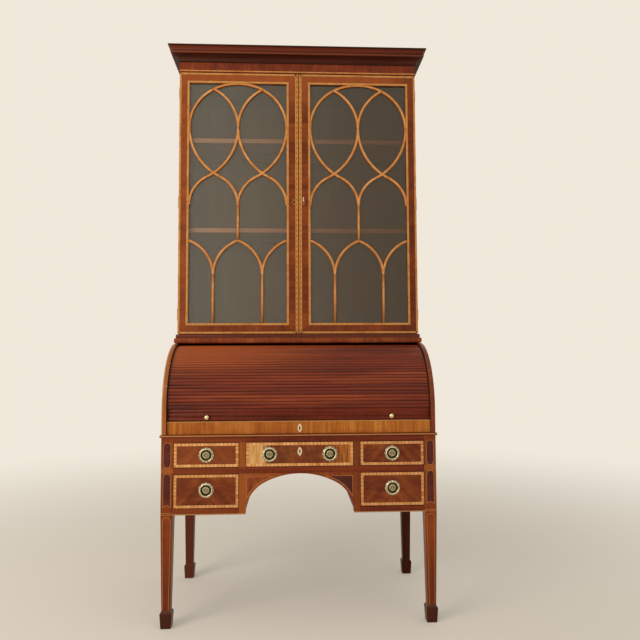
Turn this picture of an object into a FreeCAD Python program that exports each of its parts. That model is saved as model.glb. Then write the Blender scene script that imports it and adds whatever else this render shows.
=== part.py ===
import FreeCAD
import Part
import math
import os

os.makedirs("parts", exist_ok=True)
Vec = FreeCAD.Vector

# Tambour secretary desk with a glazed bookcase, in millimetres.
# X runs to the right, Y to the back, Z up. The origin is on the floor, under the middle.

# Desk
desk_width = 1040.0              # over the outer faces of the posts
desk_depth = 555.0               # front of the front posts to the back of the rear posts
leg_height = 413.0               # floor to the underside of the case
post_size = 45.0
ankle_size = 33.0                # leg just above the spade foot
spade_height = 62.0
spade_shoulder = 8.0
spade_top_size = 45.0
spade_sole_size = 38.0
bottom_rail_height = 23.0
lower_drawer_height = 128.0      # opening
middle_rail_height = 23.0
top_drawer_height = 94.0         # opening
top_rail_height = 19.0
rail_depth = 42.0                # rails and dividers, front to back
divider_width = 23.5
centre_opening = 410.0           # kneehole and centre drawer, clear width
side_panel_thickness = 18.0
back_panel_thickness = 14.0
dust_board_thickness = 12.0
guide_height = 16.0
bed_thickness = 10.0
bed_overhang = 5.5
bed_nosing = 4.0                 # radius on the upper edge of the writing bed
bed_under_nosing = 2.5

# Kneehole arch, a flat crown on two tighter haunches
arch_rise = 149.0
arch_haunch_radius = 131.0
apron_thickness = 20.0

# Leather skiver let into the writing bed
skiver_margin_side = 62.0
skiver_front_margin = 42.0
skiver_depth = 176.0
skiver_thickness = 1.2

# Quadrant ends and tambour
gable_thickness = 18.0
gable_upright = 95.0             # straight part of the front edge, above the writing bed
gable_radius = 254.0
slat_count = 30
slat_pitch_degrees = 3.1
slat_reach = 8.6                 # crown of a slat to the front edge of the quadrant end
slat_thickness = 10.0
slat_shoulder_drop = 2.4         # crown of a slat to its shoulder
slat_gap = 0.5                   # between two slats at the shoulder
tongue_thickness = 5.0
tongue_length = 7.4
groove_depth = 8.0
groove_play = 0.5
end_play = 0.4                   # between the curtain and the inner face of an end
canvas_thickness = 0.9
canvas_start_share = 0.1         # start of the canvas, of the pitch of a slat
canvas_gap = 0.15
canvas_margin = 6.0
roll_degrees = 80.0              # travel of the curtain about the quadrant's centre
groove_run_out_degrees = 3.0

# Lock rail of the tambour
rail_seat_gap = 0.8              # under the rail, on the writing bed
rail_joint_gap = 0.8             # over the rail, under the first slat
rail_face_setback = 8.0          # front edge of the ends to the satinwood face
rail_thickness = 16.0
rail_face_height = 48.0
rail_reed_count = 3
rail_reed_depth = 2.2
rail_step = 1.6                  # face stands proud of the reeds
knob_spacing = 704.0
knob_radius = 9.0
knob_neck_radius = 3.6
knob_length = 16.0
knob_collar_radius = 6.2
knob_collar_thickness = 1.8
knob_sides = 14

# Pigeonholes
nest_setback = 226.0             # front of the posts to the front of the nest
nest_back_room = 93.0            # back of the nest to the boards behind it
nest_height = 204.0
nest_board = 8.0
nest_margin = 12.0               # clear of each quadrant end
nest_bays = 6
nest_scoop_share = 0.32          # hollow in the front edge of a division, of its height

# Bookcase
waist_board_height = 22.0
waist_projection = 12.0          # past the doors
waist_nosing = 5.0
waist_under_nosing = 7.0
base_moulding_height = 16.0
base_moulding_projection = 5.5
base_moulding_cove = 4.5
bookcase_inset = 12.0            # side of the desk to the side of the bookcase
bookcase_setback = 234.0         # front of the posts to the face of the doors
bookcase_rear_inset = 12.0
bookcase_board = 18.0
bookcase_back_thickness = 9.0
back_board_count = 7
back_groove_width = 3.0
back_groove_depth = 2.0
shelf_thickness = 19.0
shelf_setback = 18.0             # behind the front edge of the sides
shelf_play = 0.3
upper_shelf_rise = 849.0         # top of a shelf above the foot of the doors
lower_shelf_rise = 456.0
frieze_height = 43.0
frieze_projection = 2.0
cornice_height = 60.0
cornice_projection = 42.0
cornice_seat = 20.0

# Doors
door_height = 1123.0
door_foot_gap = 3.0
door_head_gap = 3.0
door_meeting_gap = 1.5
door_thickness = 19.5
door_back_gap = 0.5
outer_stile_width = 42.0
meeting_stile_width = 50.0
door_rail_height = 44.0
rebate_width = 6.0
rebate_depth = 11.0              # from the back of the door
glass_thickness = 3.0
glass_play = 0.3
glazing_bead = 5.0
tracery_width = 12.5
tracery_setback = 1.0
# Levels of the tracery, as shares of the height of the glass
oval_waist_share = 0.8135
oval_foot_share = 0.6215
ogee_foot_share = 0.4865
point_share = 0.3400
spring_share = 0.1970
haunch_share = 0.975             # radius at the haunch of the big arch, of its rise
arch_rise_limit_share = 0.95     # most that the big arch may rise, of half the glass's width

# Butt hinges
hinge_height = 50.0
hinge_inset = 82.0               # end of the door to the middle of a hinge
hinge_offset = 2.0               # pin outside the side of the bookcase
knuckle_radius = 3.4
knuckle_play = 0.4
knuckle_gap = 0.3
hinge_pin_radius = 1.7
hinge_pin_play = 0.06
leaf_width = 14.0
leaf_thickness = 1.4
middle_knuckle_share = 0.4
knuckle_sides = 12

# Door key, its escutcheon and its lock
lock_rise = 562.0                # above the foot of the doors
lock_inset = 20.0                # from the middle of the bookcase
key_shank_radius = 2.2
key_play = 0.08
key_reach = 20.0                 # face of the door to the bow
key_bow_radius = 13.0
key_bow_hole_radius = 7.5
key_bow_thickness = 3.4
key_bow_sides = 16
key_bit_length = 6.0
key_bit_width = 4.0
key_bit_thickness = 1.8
lock_pocket_radius = 9.0
lock_pocket_depth = 7.0
lock_plate_width = 26.0
lock_plate_height = 50.0
lock_plate_thickness = 1.5
door_escutcheon_width = 13.0
door_escutcheon_height = 25.0

# Ivory escutcheons
escutcheon_width = 17.0
escutcheon_height = 34.0
escutcheon_thickness = 1.4
escutcheon_facets = 8
keyhole_radius = 2.1
keyhole_slot_width = 2.0
keyhole_slot_length = 7.0
keyhole_depth = 7.0
rail_escutcheon_rise = 21.0      # above the writing bed
drawer_escutcheon_rise = 10.0    # above the middle of the centre drawer

# Drawers
drawer_gap = 0.8                 # round a drawer front
drawer_running_gap = 0.3
drawer_front_thickness = 20.0
drawer_box_depth = 440.0
drawer_side_thickness = 9.0
drawer_bottom_thickness = 5.0
drawer_bottom_rise = 7.0
drawer_head_room = 7.0
drawer_groove_depth = 4.0
drawer_front_groove_depth = 5.0
drawer_lap = 13.0                # sides let into the front
drawer_fit = 0.1

# Ring pulls
pull_radius = 28.2
pull_rim_radius = 26.6
pull_rim_height = 3.0
pull_edge_height = 1.2
pull_dish_height = 0.9
pull_dish_radius = 25.2
pull_boss_radius = 13.0
pull_boss_height = 4.8
ring_radius = 22.5
ring_wire_radius = 2.2
ring_play = 0.35
lug_width = 5.0
lug_wall = 1.8
centre_pull_spacing = 229.0
rose_sides = 20
ring_sides = 20
ring_wire_sides = 6
lower_pull_rise = 4.0            # above the middle of a lower drawer

# Turns in degrees
quarter_turn = 90.0
half_turn = 180.0

# Overrun of every cut
overrun = 2.0

# Places that follow from the sizes
half_width = desk_width / 2
ring_axis_height = pull_dish_height + ring_play + ring_wire_radius
pull_reach = ring_axis_height + ring_wire_radius + ring_play + lug_wall
front_y = (pull_reach - desk_depth) / 2
back_y = front_y + desk_depth
post_inner_x = half_width - post_size
panel_inner_x = half_width - side_panel_thickness
case_z = leg_height
lower_opening_z = case_z + bottom_rail_height
middle_rail_z = lower_opening_z + lower_drawer_height
top_opening_z = middle_rail_z + middle_rail_height
top_rail_z = top_opening_z + top_drawer_height
bed_z = top_rail_z + top_rail_height
bed_top_z = bed_z + bed_thickness
centre_half = centre_opening / 2
divider_outer_x = centre_half + divider_width
back_panel_y = back_y - back_panel_thickness
nest_depth = back_panel_y - nest_back_room - front_y - nest_setback
gable_inner_x = half_width - gable_thickness
curtain_y = front_y + gable_radius
curtain_z = bed_top_z + gable_upright
waist_z = curtain_z + gable_radius
slat_crown_radius = gable_radius - slat_reach
slat_inner_radius = slat_crown_radius - slat_thickness
slat_half = gable_inner_x - end_play
book_z = waist_z + waist_board_height
base_top_z = book_z + base_moulding_height
door_z = base_top_z + door_foot_gap
door_top_z = door_z + door_height
frieze_z = door_top_z + door_head_gap
cornice_z = frieze_z + frieze_height
top_z = cornice_z + cornice_height
book_half = half_width - bookcase_inset
book_inner_x = book_half - bookcase_board
door_y = front_y + bookcase_setback
door_back_y = door_y + door_thickness
book_front_y = door_back_y + door_back_gap
book_back_y = back_y - bookcase_rear_inset
hinge_x = book_half + hinge_offset
hinge_y = door_back_y + door_back_gap / 2
glass_left_x = outer_stile_width
glass_width = book_half - door_meeting_gap / 2 - outer_stile_width - meeting_stile_width
glass_height = door_height - 2 * door_rail_height
glass_half = glass_width / 2
glass_centre_x = -book_half + outer_stile_width + glass_half
glass_z = door_z + door_rail_height
lock_z = door_z + lock_rise


def box(x0, x1, y0, y1, z0, z1):
    return Part.makeBox(x1 - x0, y1 - y0, z1 - z0, Vec(x0, y0, z0))


def mirrored(shape):
    return shape.mirror(Vec(0, 0, 0), Vec(1, 0, 0))


def pair(shape):
    return [mirrored(shape), shape]


def save(node, solids):
    shape = solids[0] if len(solids) == 1 else Part.makeCompound(solids)
    shape.exportStep("parts/" + node + ".step")


def joined(shapes):
    whole = shapes[0].multiFuse(shapes[1:]) if len(shapes) > 1 else shapes[0]
    return whole.removeSplitter()


def face_of(edges):
    return Part.Face(Part.Wire(Part.__sortEdges__(edges)))


def arc(a, b, c):
    return Part.Arc(a, b, c).toShape()


def line(a, b):
    return Part.makeLine(a, b)


def polygon_prism(points, direction):
    return Part.Face(Part.makePolygon(points + [points[0]])).extrude(direction)


def square(centre_x, centre_y, size, z):
    half = size / 2
    return [Vec(centre_x + i * half, centre_y + j * half, z) for i, j in ((-1, -1), (1, -1), (1, 1), (-1, 1))]


def skin(loops, endless=False):
    # a solid of flat faces through loops that have as many points each
    faces = []
    following = loops[1:] + loops[:1] if endless else loops[1:]
    for here, there in zip(loops, following):
        for i in range(len(here)):
            j = (i + 1) % len(here)
            faces.append(Part.Face(Part.makePolygon([here[i], here[j], there[j], there[i], here[i]])))
    if not endless:
        for loop in (loops[0], loops[-1]):
            faces.append(Part.Face(Part.makePolygon(loop + [loop[0]])))
    solid = Part.makeSolid(Part.makeShell(faces))
    solid.fixTolerance(solid.getTolerance(1))
    if solid.Volume < 0:
        solid.reverse()
    return solid


def turned(x, z, profile, sides):
    # a many-sided turning about a line along Y; profile lists radius and Y
    loops = []
    for radius, y in profile:
        loop = []
        for i in range(sides):
            angle = 2 * math.pi * (i + 0.5) / sides
            loop.append(Vec(x + radius * math.cos(angle), y, z + radius * math.sin(angle)))
        loops.append(loop)
    return skin(loops)


def hoop(x, y, z, radius, wire_radius, sides, wire_sides):
    # a ring of straight facets in the XZ plane
    loops = []
    for i in range(sides):
        around = 2 * math.pi * i / sides
        loop = []
        for j in range(wire_sides):
            across = 2 * math.pi * (j + 0.5) / wire_sides
            reach = radius + wire_radius * math.cos(across)
            loop.append(Vec(x + reach * math.sin(around), y + wire_radius * math.sin(across), z + reach * math.cos(around)))
        loops.append(loop)
    return skin(loops, True)


def edges_along(shape, axis, test):
    found = []
    for edge in shape.Edges:
        a, b = edge.Vertexes[0].Point, edge.Vertexes[-1].Point
        run = b - a
        if run.Length > 0 and abs(abs(getattr(run, axis)) - run.Length) < run.Length / desk_width:
            if test((a + b) / 2):
                found.append(edge)
    return found


# Desk frame

def leg(centre_y):
    x = half_width - post_size / 2
    sections = [
        square(x, centre_y, spade_sole_size, 0),
        square(x, centre_y, spade_top_size, spade_height - spade_shoulder),
        square(x, centre_y, ankle_size, spade_height),
        square(x, centre_y, post_size, leg_height),
        square(x, centre_y, post_size, bed_z),
    ]
    return skin(sections)


def front_legs():
    return pair(leg(front_y + post_size / 2))


def rear_legs():
    return pair(leg(back_y - post_size / 2))


def desk_sides():
    panel = box(panel_inner_x, half_width, front_y + post_size, back_y - post_size, case_z, bed_z)
    return pair(panel)


def boarded_back(x0, x1, y0, y1, z0, z1, boards):
    # upright boards, with a V between each pair on the outer face
    width = (x1 - x0) / boards
    outline = [Vec(x0, y0, z0), Vec(x1, y0, z0), Vec(x1, y1, z0)]
    for i in range(boards - 1, 0, -1):
        joint = x0 + i * width
        outline.append(Vec(joint + back_groove_width / 2, y1, z0))
        outline.append(Vec(joint, y1 - back_groove_depth, z0))
        outline.append(Vec(joint - back_groove_width / 2, y1, z0))
    outline.append(Vec(x0, y1, z0))
    return polygon_prism(outline, Vec(0, 0, z1 - z0))


def desk_back():
    outer = boarded_back(centre_half, post_inner_x, back_panel_y, back_y, case_z, bed_z, 2)
    low = middle_rail_z + middle_rail_height - dust_board_thickness
    centre = boarded_back(-centre_half, centre_half, back_panel_y, back_y, low, bed_z, 3)
    return pair(outer) + [centre]


def front_rails():
    low = box(divider_outer_x, post_inner_x, front_y, front_y + rail_depth, case_z, lower_opening_z)
    middle = box(-post_inner_x, post_inner_x, front_y, front_y + rail_depth, middle_rail_z, top_opening_z)
    top = box(-post_inner_x, post_inner_x, front_y, front_y + rail_depth, top_rail_z, bed_z)
    return pair(low) + [middle, top]


def kneehole_apron():
    # half an arch is a haunch and half a crown, tangent to each other
    spring = case_z
    haunch_x = centre_half - arch_haunch_radius
    crown_radius = (haunch_x ** 2 + arch_rise ** 2 - arch_haunch_radius ** 2) / (2 * (arch_rise - arch_haunch_radius))
    crown_z = spring + arch_rise - crown_radius
    lean = math.atan2(spring - crown_z, haunch_x)
    join_x = haunch_x + arch_haunch_radius * math.cos(lean)
    join_z = spring + arch_haunch_radius * math.sin(lean)
    mid_x = haunch_x + arch_haunch_radius * math.cos(lean / 2)
    mid_z = spring + arch_haunch_radius * math.sin(lean / 2)

    def at(x, z):
        return Vec(x, front_y, z)

    edges = [
        arc(at(-centre_half, spring), at(-mid_x, mid_z), at(-join_x, join_z)),
        arc(at(-join_x, join_z), at(0, spring + arch_rise), at(join_x, join_z)),
        arc(at(join_x, join_z), at(mid_x, mid_z), at(centre_half, spring)),
        line(at(centre_half, spring), at(centre_half, middle_rail_z)),
        line(at(centre_half, middle_rail_z), at(-centre_half, middle_rail_z)),
        line(at(-centre_half, middle_rail_z), at(-centre_half, spring)),
    ]
    return [Part.Face(Part.Wire(edges)).extrude(Vec(0, apron_thickness, 0))]


def drawer_dividers():
    lower = box(centre_half, divider_outer_x, front_y, front_y + rail_depth, case_z, middle_rail_z)
    upper = box(centre_half, divider_outer_x, front_y, front_y + rail_depth, top_opening_z, top_rail_z)
    return pair(lower) + pair(upper)


def kneehole_sides():
    # full-depth divisions behind the dividers, between the dust boards and above them
    behind = front_y + rail_depth
    foot_z = lower_opening_z - dust_board_thickness
    dust_z = top_opening_z - dust_board_thickness
    lower = box(centre_half, divider_outer_x, behind, back_panel_y, foot_z, dust_z)
    upper = box(centre_half, divider_outer_x, behind, back_panel_y, top_opening_z, bed_z)
    return pair(lower) + pair(upper)


def dust_boards():
    behind = front_y + rail_depth
    rear_post_y = back_y - post_size
    z = top_opening_z - dust_board_thickness
    outline = [
        Vec(-post_inner_x, behind, z), Vec(post_inner_x, behind, z),
        Vec(post_inner_x, front_y + post_size, z), Vec(panel_inner_x, front_y + post_size, z),
        Vec(panel_inner_x, rear_post_y, z), Vec(post_inner_x, rear_post_y, z),
        Vec(post_inner_x, back_panel_y, z), Vec(-post_inner_x, back_panel_y, z),
        Vec(-post_inner_x, rear_post_y, z), Vec(-panel_inner_x, rear_post_y, z),
        Vec(-panel_inner_x, front_y + post_size, z), Vec(-post_inner_x, front_y + post_size, z),
    ]
    upper = polygon_prism(outline, Vec(0, 0, dust_board_thickness))
    z = lower_opening_z - dust_board_thickness
    outline = [
        Vec(divider_outer_x, behind, z), Vec(post_inner_x, behind, z),
        Vec(post_inner_x, front_y + post_size, z), Vec(panel_inner_x, front_y + post_size, z),
        Vec(panel_inner_x, rear_post_y, z), Vec(post_inner_x, rear_post_y, z),
        Vec(post_inner_x, back_panel_y, z), Vec(divider_outer_x, back_panel_y, z),
    ]
    lower = polygon_prism(outline, Vec(0, 0, dust_board_thickness))
    guides = []
    for z in (lower_opening_z, top_opening_z):
        y0, y1 = front_y + post_size, back_y - post_size
        guides += pair(box(post_inner_x, panel_inner_x, y0, y1, z, z + guide_height))
    return [upper] + pair(lower) + guides


def writing_bed():
    edge_x = half_width + bed_overhang
    edge_y = front_y - bed_overhang
    board = box(-edge_x, edge_x, edge_y, back_y, bed_z, bed_top_z)
    mid_z = (bed_z + bed_top_z) / 2
    touch = drawer_fit

    def outer(high):
        def test(p):
            level = p.z > mid_z if high else p.z < mid_z
            return level and (abs(p.y - edge_y) < touch or abs(abs(p.x) - edge_x) < touch)
        return test

    for radius, high in ((bed_nosing, True), (bed_under_nosing, False)):
        edges = edges_along(board, "x", outer(high)) + edges_along(board, "y", outer(high))
        edges = [e for e in edges if abs(e.CenterOfMass.y - back_y) > touch]
        board = board.makeFillet(radius, edges)
    return [board.cut(skiver_solid(overrun)).removeSplitter()]


def skiver_solid(rise):
    x = gable_inner_x - skiver_margin_side
    y0 = front_y + skiver_front_margin
    return box(-x, x, y0, y0 + skiver_depth, bed_top_z - skiver_thickness, bed_top_z + rise)


def leather_skiver():
    return [skiver_solid(0)]


# Quadrant ends and tambour

def on_curtain(radius, degrees, x):
    # a point of the curtain's path; zero degrees faces the front, ninety faces up
    turn = math.radians(degrees)
    return Vec(x, curtain_y - radius * math.cos(turn), curtain_z + radius * math.sin(turn))


def curtain_sector(inner, outer, start, end, x0, x1):
    middle = (start + end) / 2
    edges = [
        arc(on_curtain(inner, start, x0), on_curtain(inner, middle, x0), on_curtain(inner, end, x0)),
        line(on_curtain(inner, end, x0), on_curtain(outer, end, x0)),
        arc(on_curtain(outer, end, x0), on_curtain(outer, middle, x0), on_curtain(outer, start, x0)),
        line(on_curtain(outer, start, x0), on_curtain(inner, start, x0)),
    ]
    return Part.Face(Part.Wire(edges)).extrude(Vec(x1 - x0, 0, 0))


def gables():
    x = gable_inner_x
    start = Vec(x, front_y, bed_top_z)
    spring = Vec(x, front_y, curtain_z)
    crown = Vec(x, curtain_y, waist_z)
    middle = on_curtain(gable_radius, quarter_turn / 2, x)
    edges = [
        line(start, spring),
        arc(spring, middle, crown),
        line(crown, Vec(x, back_y, waist_z)),
        line(Vec(x, back_y, waist_z), Vec(x, back_y, bed_top_z)),
        line(Vec(x, back_y, bed_top_z), start),
    ]
    end = Part.Face(Part.Wire(edges)).extrude(Vec(gable_thickness, 0, 0))
    travel = slat_count * slat_pitch_degrees + roll_degrees + groove_run_out_degrees
    groove = curtain_sector(
        slat_inner_radius - groove_play, slat_inner_radius + tongue_thickness + groove_play,
        -groove_run_out_degrees / 2, travel, x - overrun, x + groove_depth)
    return pair(end.cut(groove))


def gable_back():
    return [boarded_back(-gable_inner_x, gable_inner_x, back_panel_y, back_y, bed_top_z, waist_z, back_board_count)]


def tambour_slats():
    half_gap = math.degrees(slat_gap / 2 / slat_crown_radius)
    start, end = half_gap, slat_pitch_degrees - half_gap
    middle = slat_pitch_degrees / 2
    shoulder = slat_crown_radius - slat_shoulder_drop

    def body(x0, x1, outer, crown):
        edges = [
            line(on_curtain(slat_inner_radius, end, x0), on_curtain(slat_inner_radius, start, x0)),
            line(on_curtain(slat_inner_radius, start, x0), on_curtain(outer, start, x0)),
            line(on_curtain(outer, end, x0), on_curtain(slat_inner_radius, end, x0)),
        ]
        if crown > outer:
            edges.append(arc(on_curtain(outer, start, x0), on_curtain(crown, middle, x0), on_curtain(outer, end, x0)))
        else:
            edges.append(line(on_curtain(outer, start, x0), on_curtain(outer, end, x0)))
        return face_of(edges).extrude(Vec(x1 - x0, 0, 0))

    tongue_end = slat_half + tongue_length
    whole = body(-slat_half, slat_half, shoulder, slat_crown_radius)
    tongue = slat_inner_radius + tongue_thickness
    slat = joined([whole, body(-tongue_end, -slat_half, tongue, tongue), body(slat_half, tongue_end, tongue, tongue)])
    slats = []
    for i in range(slat_count):
        copy = slat.copy()
        copy.rotate(Vec(0, curtain_y, curtain_z), Vec(-1, 0, 0), i * slat_pitch_degrees)
        slats.append(copy)
    return slats


def tambour_canvas():
    outer = slat_inner_radius - canvas_gap
    x = slat_half - canvas_margin
    end = slat_count * slat_pitch_degrees - slat_pitch_degrees / 4
    return [curtain_sector(outer - canvas_thickness, outer, slat_pitch_degrees * canvas_start_share, end, -x, x)]


def rail_profile_points():
    face_y = front_y + rail_face_setback
    low = bed_top_z + rail_seat_gap
    high = curtain_z - rail_joint_gap
    return face_y, low, high


def tambour_rail():
    face_y, low, high = rail_profile_points()
    back = face_y + rail_thickness
    step_z = low + rail_face_height
    reed_y = face_y + rail_step
    reed = (high - step_z) / rail_reed_count

    def at(y, z):
        return Vec(-slat_half, y, z)

    edges = [
        line(at(back, high), at(back, low)),
        line(at(back, low), at(face_y, low)),
        line(at(face_y, low), at(face_y, step_z)),
        line(at(face_y, step_z), at(reed_y + rail_reed_depth, step_z)),
    ]
    for i in range(rail_reed_count):
        foot, head = step_z + i * reed, step_z + (i + 1) * reed
        valley = reed_y + rail_reed_depth
        edges.append(arc(at(valley, foot), at(reed_y, (foot + head) / 2), at(valley, head)))
    edges.append(line(at(reed_y + rail_reed_depth, high), at(back, high)))
    rail = Part.Face(Part.Wire(edges)).extrude(Vec(2 * slat_half, 0, 0))
    plate = escutcheon_outline(0, face_y - overrun, rail_escutcheon_z(), escutcheon_thickness + overrun)
    hole = keyhole(0, face_y, rail_escutcheon_z())
    for side in (-1, 1):
        rail = rail.cut(knob_dowel(side, 0))
    return [rail.cut(plate).cut(hole)]


def rail_escutcheon_z():
    return bed_top_z + rail_escutcheon_rise


def knob_z():
    face_y, low, high = rail_profile_points()
    reed = (high - low - rail_face_height) / rail_reed_count
    return low + rail_face_height + reed


def knob_seat_y():
    return front_y + rail_face_setback + rail_step + rail_reed_depth


def knob_dowel(side, play):
    # the neck is let into the rail as deep as it is thick
    seat = knob_seat_y()
    centre = Vec(side * knob_spacing / 2, seat - overrun, knob_z())
    return Part.makeCylinder(knob_neck_radius, overrun + knob_neck_radius * 2, centre, Vec(0, 1, 0))


def tambour_knobs():
    # a flattened head on a waisted neck over a small collar, let into the rail
    seat = knob_seat_y()
    tip = seat - knob_length
    collar_y = seat - rail_reed_depth - knob_collar_thickness
    profile = [
        (knob_radius * 0.30, tip),
        (knob_radius * 0.72, tip + knob_radius * 0.20),
        (knob_radius, tip + knob_radius * 0.66),
        (knob_radius * 0.86, tip + knob_radius * 0.98),
        (knob_neck_radius, tip + knob_radius * 1.15),
        (knob_neck_radius, collar_y),
        (knob_collar_radius, collar_y),
        (knob_collar_radius, collar_y + knob_collar_thickness),
        (knob_neck_radius - drawer_fit, collar_y + knob_collar_thickness),
        (knob_neck_radius - drawer_fit, seat + 2 * knob_neck_radius),
    ]
    return [turned(side * knob_spacing / 2, knob_z(), profile, knob_sides) for side in (-1, 1)]


def escutcheon_outline(x, y, z, depth, width=escutcheon_width, height=escutcheon_height):
    # a pointed oval, each side a bow of short straights
    half, tall = width / 2, height / 2
    radius = (half ** 2 + tall ** 2) / (2 * half)
    sweep = math.asin(tall / radius)
    points = []
    for side in (1, -1):
        for i in range(escutcheon_facets):
            angle = side * sweep * (2 * i / escutcheon_facets - 1)
            points.append(Vec(x + side * (half - radius + radius * math.cos(angle)), y, z + radius * math.sin(angle)))
    return polygon_prism(points, Vec(0, depth, 0))


def keyhole(x, y, z):
    bow = Part.makeCylinder(keyhole_radius, keyhole_depth + overrun, Vec(x, y - overrun, z + keyhole_radius), Vec(0, 1, 0))
    half = keyhole_slot_width / 2
    slot = box(x - half, x + half, y - overrun, y + keyhole_depth, z - keyhole_slot_length + keyhole_radius, z + keyhole_radius)
    return bow.fuse(slot)


def escutcheon(x, y, z):
    return escutcheon_outline(x, y, z, escutcheon_thickness).cut(keyhole(x, y, z))


def rail_escutcheon():
    return [escutcheon(0, front_y + rail_face_setback, rail_escutcheon_z())]


def pigeonhole_nest():
    x = gable_inner_x - nest_margin
    y0 = front_y + nest_setback
    y1 = y0 + nest_depth
    z0 = bed_top_z
    z1 = z0 + nest_height
    boards = [
        box(-x, x, y0, y1, z0, z0 + nest_board),
        box(-x, x, y0, y1, z1 - nest_board, z1),
        box(-x + nest_board, x - nest_board, y1 - nest_board, y1, z0 + nest_board, z1 - nest_board),
    ]
    boards += pair(box(x - nest_board, x, y0, y1, z0 + nest_board, z1 - nest_board))
    bay = (2 * x - nest_board) / nest_bays
    inside = nest_height - 2 * nest_board
    scoop = nest_scoop_share * inside
    for i in range(1, nest_bays):
        left = -x + i * bay

        def at(y, z):
            return Vec(left, y, z)

        low, high = z0 + nest_board, z1 - nest_board
        rear = y1 - nest_board
        sag = scoop / 2
        edges = [
            line(at(y0, low), at(y0, low + (inside - scoop) / 2)),
            arc(at(y0, low + (inside - scoop) / 2), at(y0 + sag / 2, (low + high) / 2), at(y0, high - (inside - scoop) / 2)),
            line(at(y0, high - (inside - scoop) / 2), at(y0, high)),
            line(at(y0, high), at(rear, high)),
            line(at(rear, high), at(rear, low)),
            line(at(rear, low), at(y0, low)),
        ]
        boards.append(Part.Face(Part.Wire(edges)).extrude(Vec(nest_board, 0, 0)))
    return boards


# Bookcase case

def waist_board():
    edge_x = half_width
    edge_y = door_y - waist_projection
    board = box(-edge_x, edge_x, edge_y, back_y, waist_z, book_z)
    mid_z = (waist_z + book_z) / 2
    touch = drawer_fit

    def outer(high):
        def test(p):
            level = p.z > mid_z if high else p.z < mid_z
            return level and (abs(p.y - edge_y) < touch or abs(abs(p.x) - edge_x) < touch)
        return test

    for radius, high in ((waist_nosing, True), (waist_under_nosing, False)):
        edges = edges_along(board, "x", outer(high)) + edges_along(board, "y", outer(high))
        edges = [e for e in edges if abs(e.CenterOfMass.y - back_y) > touch]
        board = board.makeFillet(radius, edges)
    return [board]


def moulding_round(profile, side_x, run_y, end_y):
    # profile is a list of edges drawn at the rear end of the left return
    path = Part.makePolygon([Vec(-side_x, end_y, 0), Vec(-side_x, run_y, 0), Vec(side_x, run_y, 0), Vec(side_x, end_y, 0)])
    return path.makePipeShell([Part.Wire(profile)], True, False, 1)


def base_moulding():
    # a coved strip round the foot of the bookcase, with a rail under the doors behind it
    low, high = book_z, base_top_z
    out = base_moulding_projection
    cove = base_moulding_cove

    def at(projection, z):
        return Vec(-book_half - projection, book_back_y, z)

    sag = cove * (1 - math.sqrt(0.5))
    profile = [
        line(at(0, low), at(out, low)),
        line(at(out, low), at(out, high - cove)),
        arc(at(out, high - cove), at(out - sag, high - sag), at(out - cove, high)),
        line(at(out - cove, high), at(0, high)),
        line(at(0, high), at(0, low)),
    ]
    strip = moulding_round(profile, book_half, door_y, book_back_y)
    rail = box(-book_half, book_half, door_y, book_front_y, low, high)
    return [strip, rail]


def bookcase_sides():
    side = box(book_inner_x, book_half, book_front_y, book_back_y, book_z, cornice_z)
    for z in hinge_levels():
        side = side.cut(knuckle_clearance(z))
        side = side.cut(box(hinge_x - hinge_offset - leaf_width, hinge_x, book_front_y - overrun,
                            book_front_y + leaf_thickness, z - hinge_height / 2, z + hinge_height / 2))
    return pair(side.removeSplitter())


def bookcase_boards():
    floor = box(-book_inner_x, book_inner_x, book_front_y, book_back_y, base_top_z, base_top_z + bookcase_board)
    head = box(-book_inner_x, book_inner_x, book_front_y, book_back_y, door_top_z - bookcase_board, door_top_z)
    lid_z = top_z - bookcase_board
    lid = box(-book_inner_x, book_inner_x, book_front_y, book_back_y, lid_z, lid_z + dust_board_thickness)
    return [floor, head, lid]


def bookcase_back():
    y0 = book_back_y - bookcase_back_thickness
    z0, z1 = base_top_z + bookcase_board, door_top_z - bookcase_board
    return [boarded_back(-book_inner_x, book_inner_x, y0, book_back_y, z0, z1, back_board_count)]


def bookcase_shelves():
    x = book_inner_x - shelf_play
    y0 = book_front_y + shelf_setback
    y1 = book_back_y - bookcase_back_thickness - shelf_play
    shelves = []
    for rise in (lower_shelf_rise, upper_shelf_rise):
        top = door_z + rise
        shelves.append(box(-x, x, y0, y1, top - shelf_thickness, top))
    return shelves


def frieze():
    x = book_half + frieze_projection
    front = box(-x, x, door_y, book_front_y, frieze_z, cornice_z)
    side = box(book_half, x, book_front_y, book_back_y, frieze_z, cornice_z)
    return [front] + pair(side)


def cornice():
    # from the foot: bead, cove, ovolo, quirk, corona and top fillet
    base = book_half + frieze_projection
    height = cornice_height
    out = cornice_projection
    seat = cornice_seat

    def at(out_share, up_share):
        return Vec(-base - out * out_share, book_back_y, cornice_z + height * up_share)

    inner_low = Vec(-base + seat, book_back_y, cornice_z)
    inner_high = Vec(-base + seat, book_back_y, cornice_z + height)
    profile = [
        line(inner_low, at(0, 0)),
        line(at(0, 0), at(0.10, 0)),
        line(at(0.10, 0), at(0.10, 0.07)),
        # cove, then a bead that stands out under the sloping face
        arc(at(0.10, 0.07), at(0.19, 0.26), at(0.46, 0.37)),
        line(at(0.46, 0.37), at(0.46, 0.41)),
        line(at(0.46, 0.41), at(0.64, 0.43)),
        arc(at(0.64, 0.43), at(0.80, 0.52), at(0.66, 0.61)),
        line(at(0.66, 0.61), at(0.70, 0.63)),
        arc(at(0.70, 0.63), at(0.75, 0.78), at(0.88, 0.89)),
        line(at(0.88, 0.89), at(0.93, 0.91)),
        line(at(0.93, 0.91), at(1, 0.92)),
        line(at(1, 0.92), at(1, 1)),
        line(at(1, 1), inner_high),
        line(inner_high, inner_low),
    ]
    return [moulding_round(profile, base, door_y, book_back_y)]


# Hinges

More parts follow.
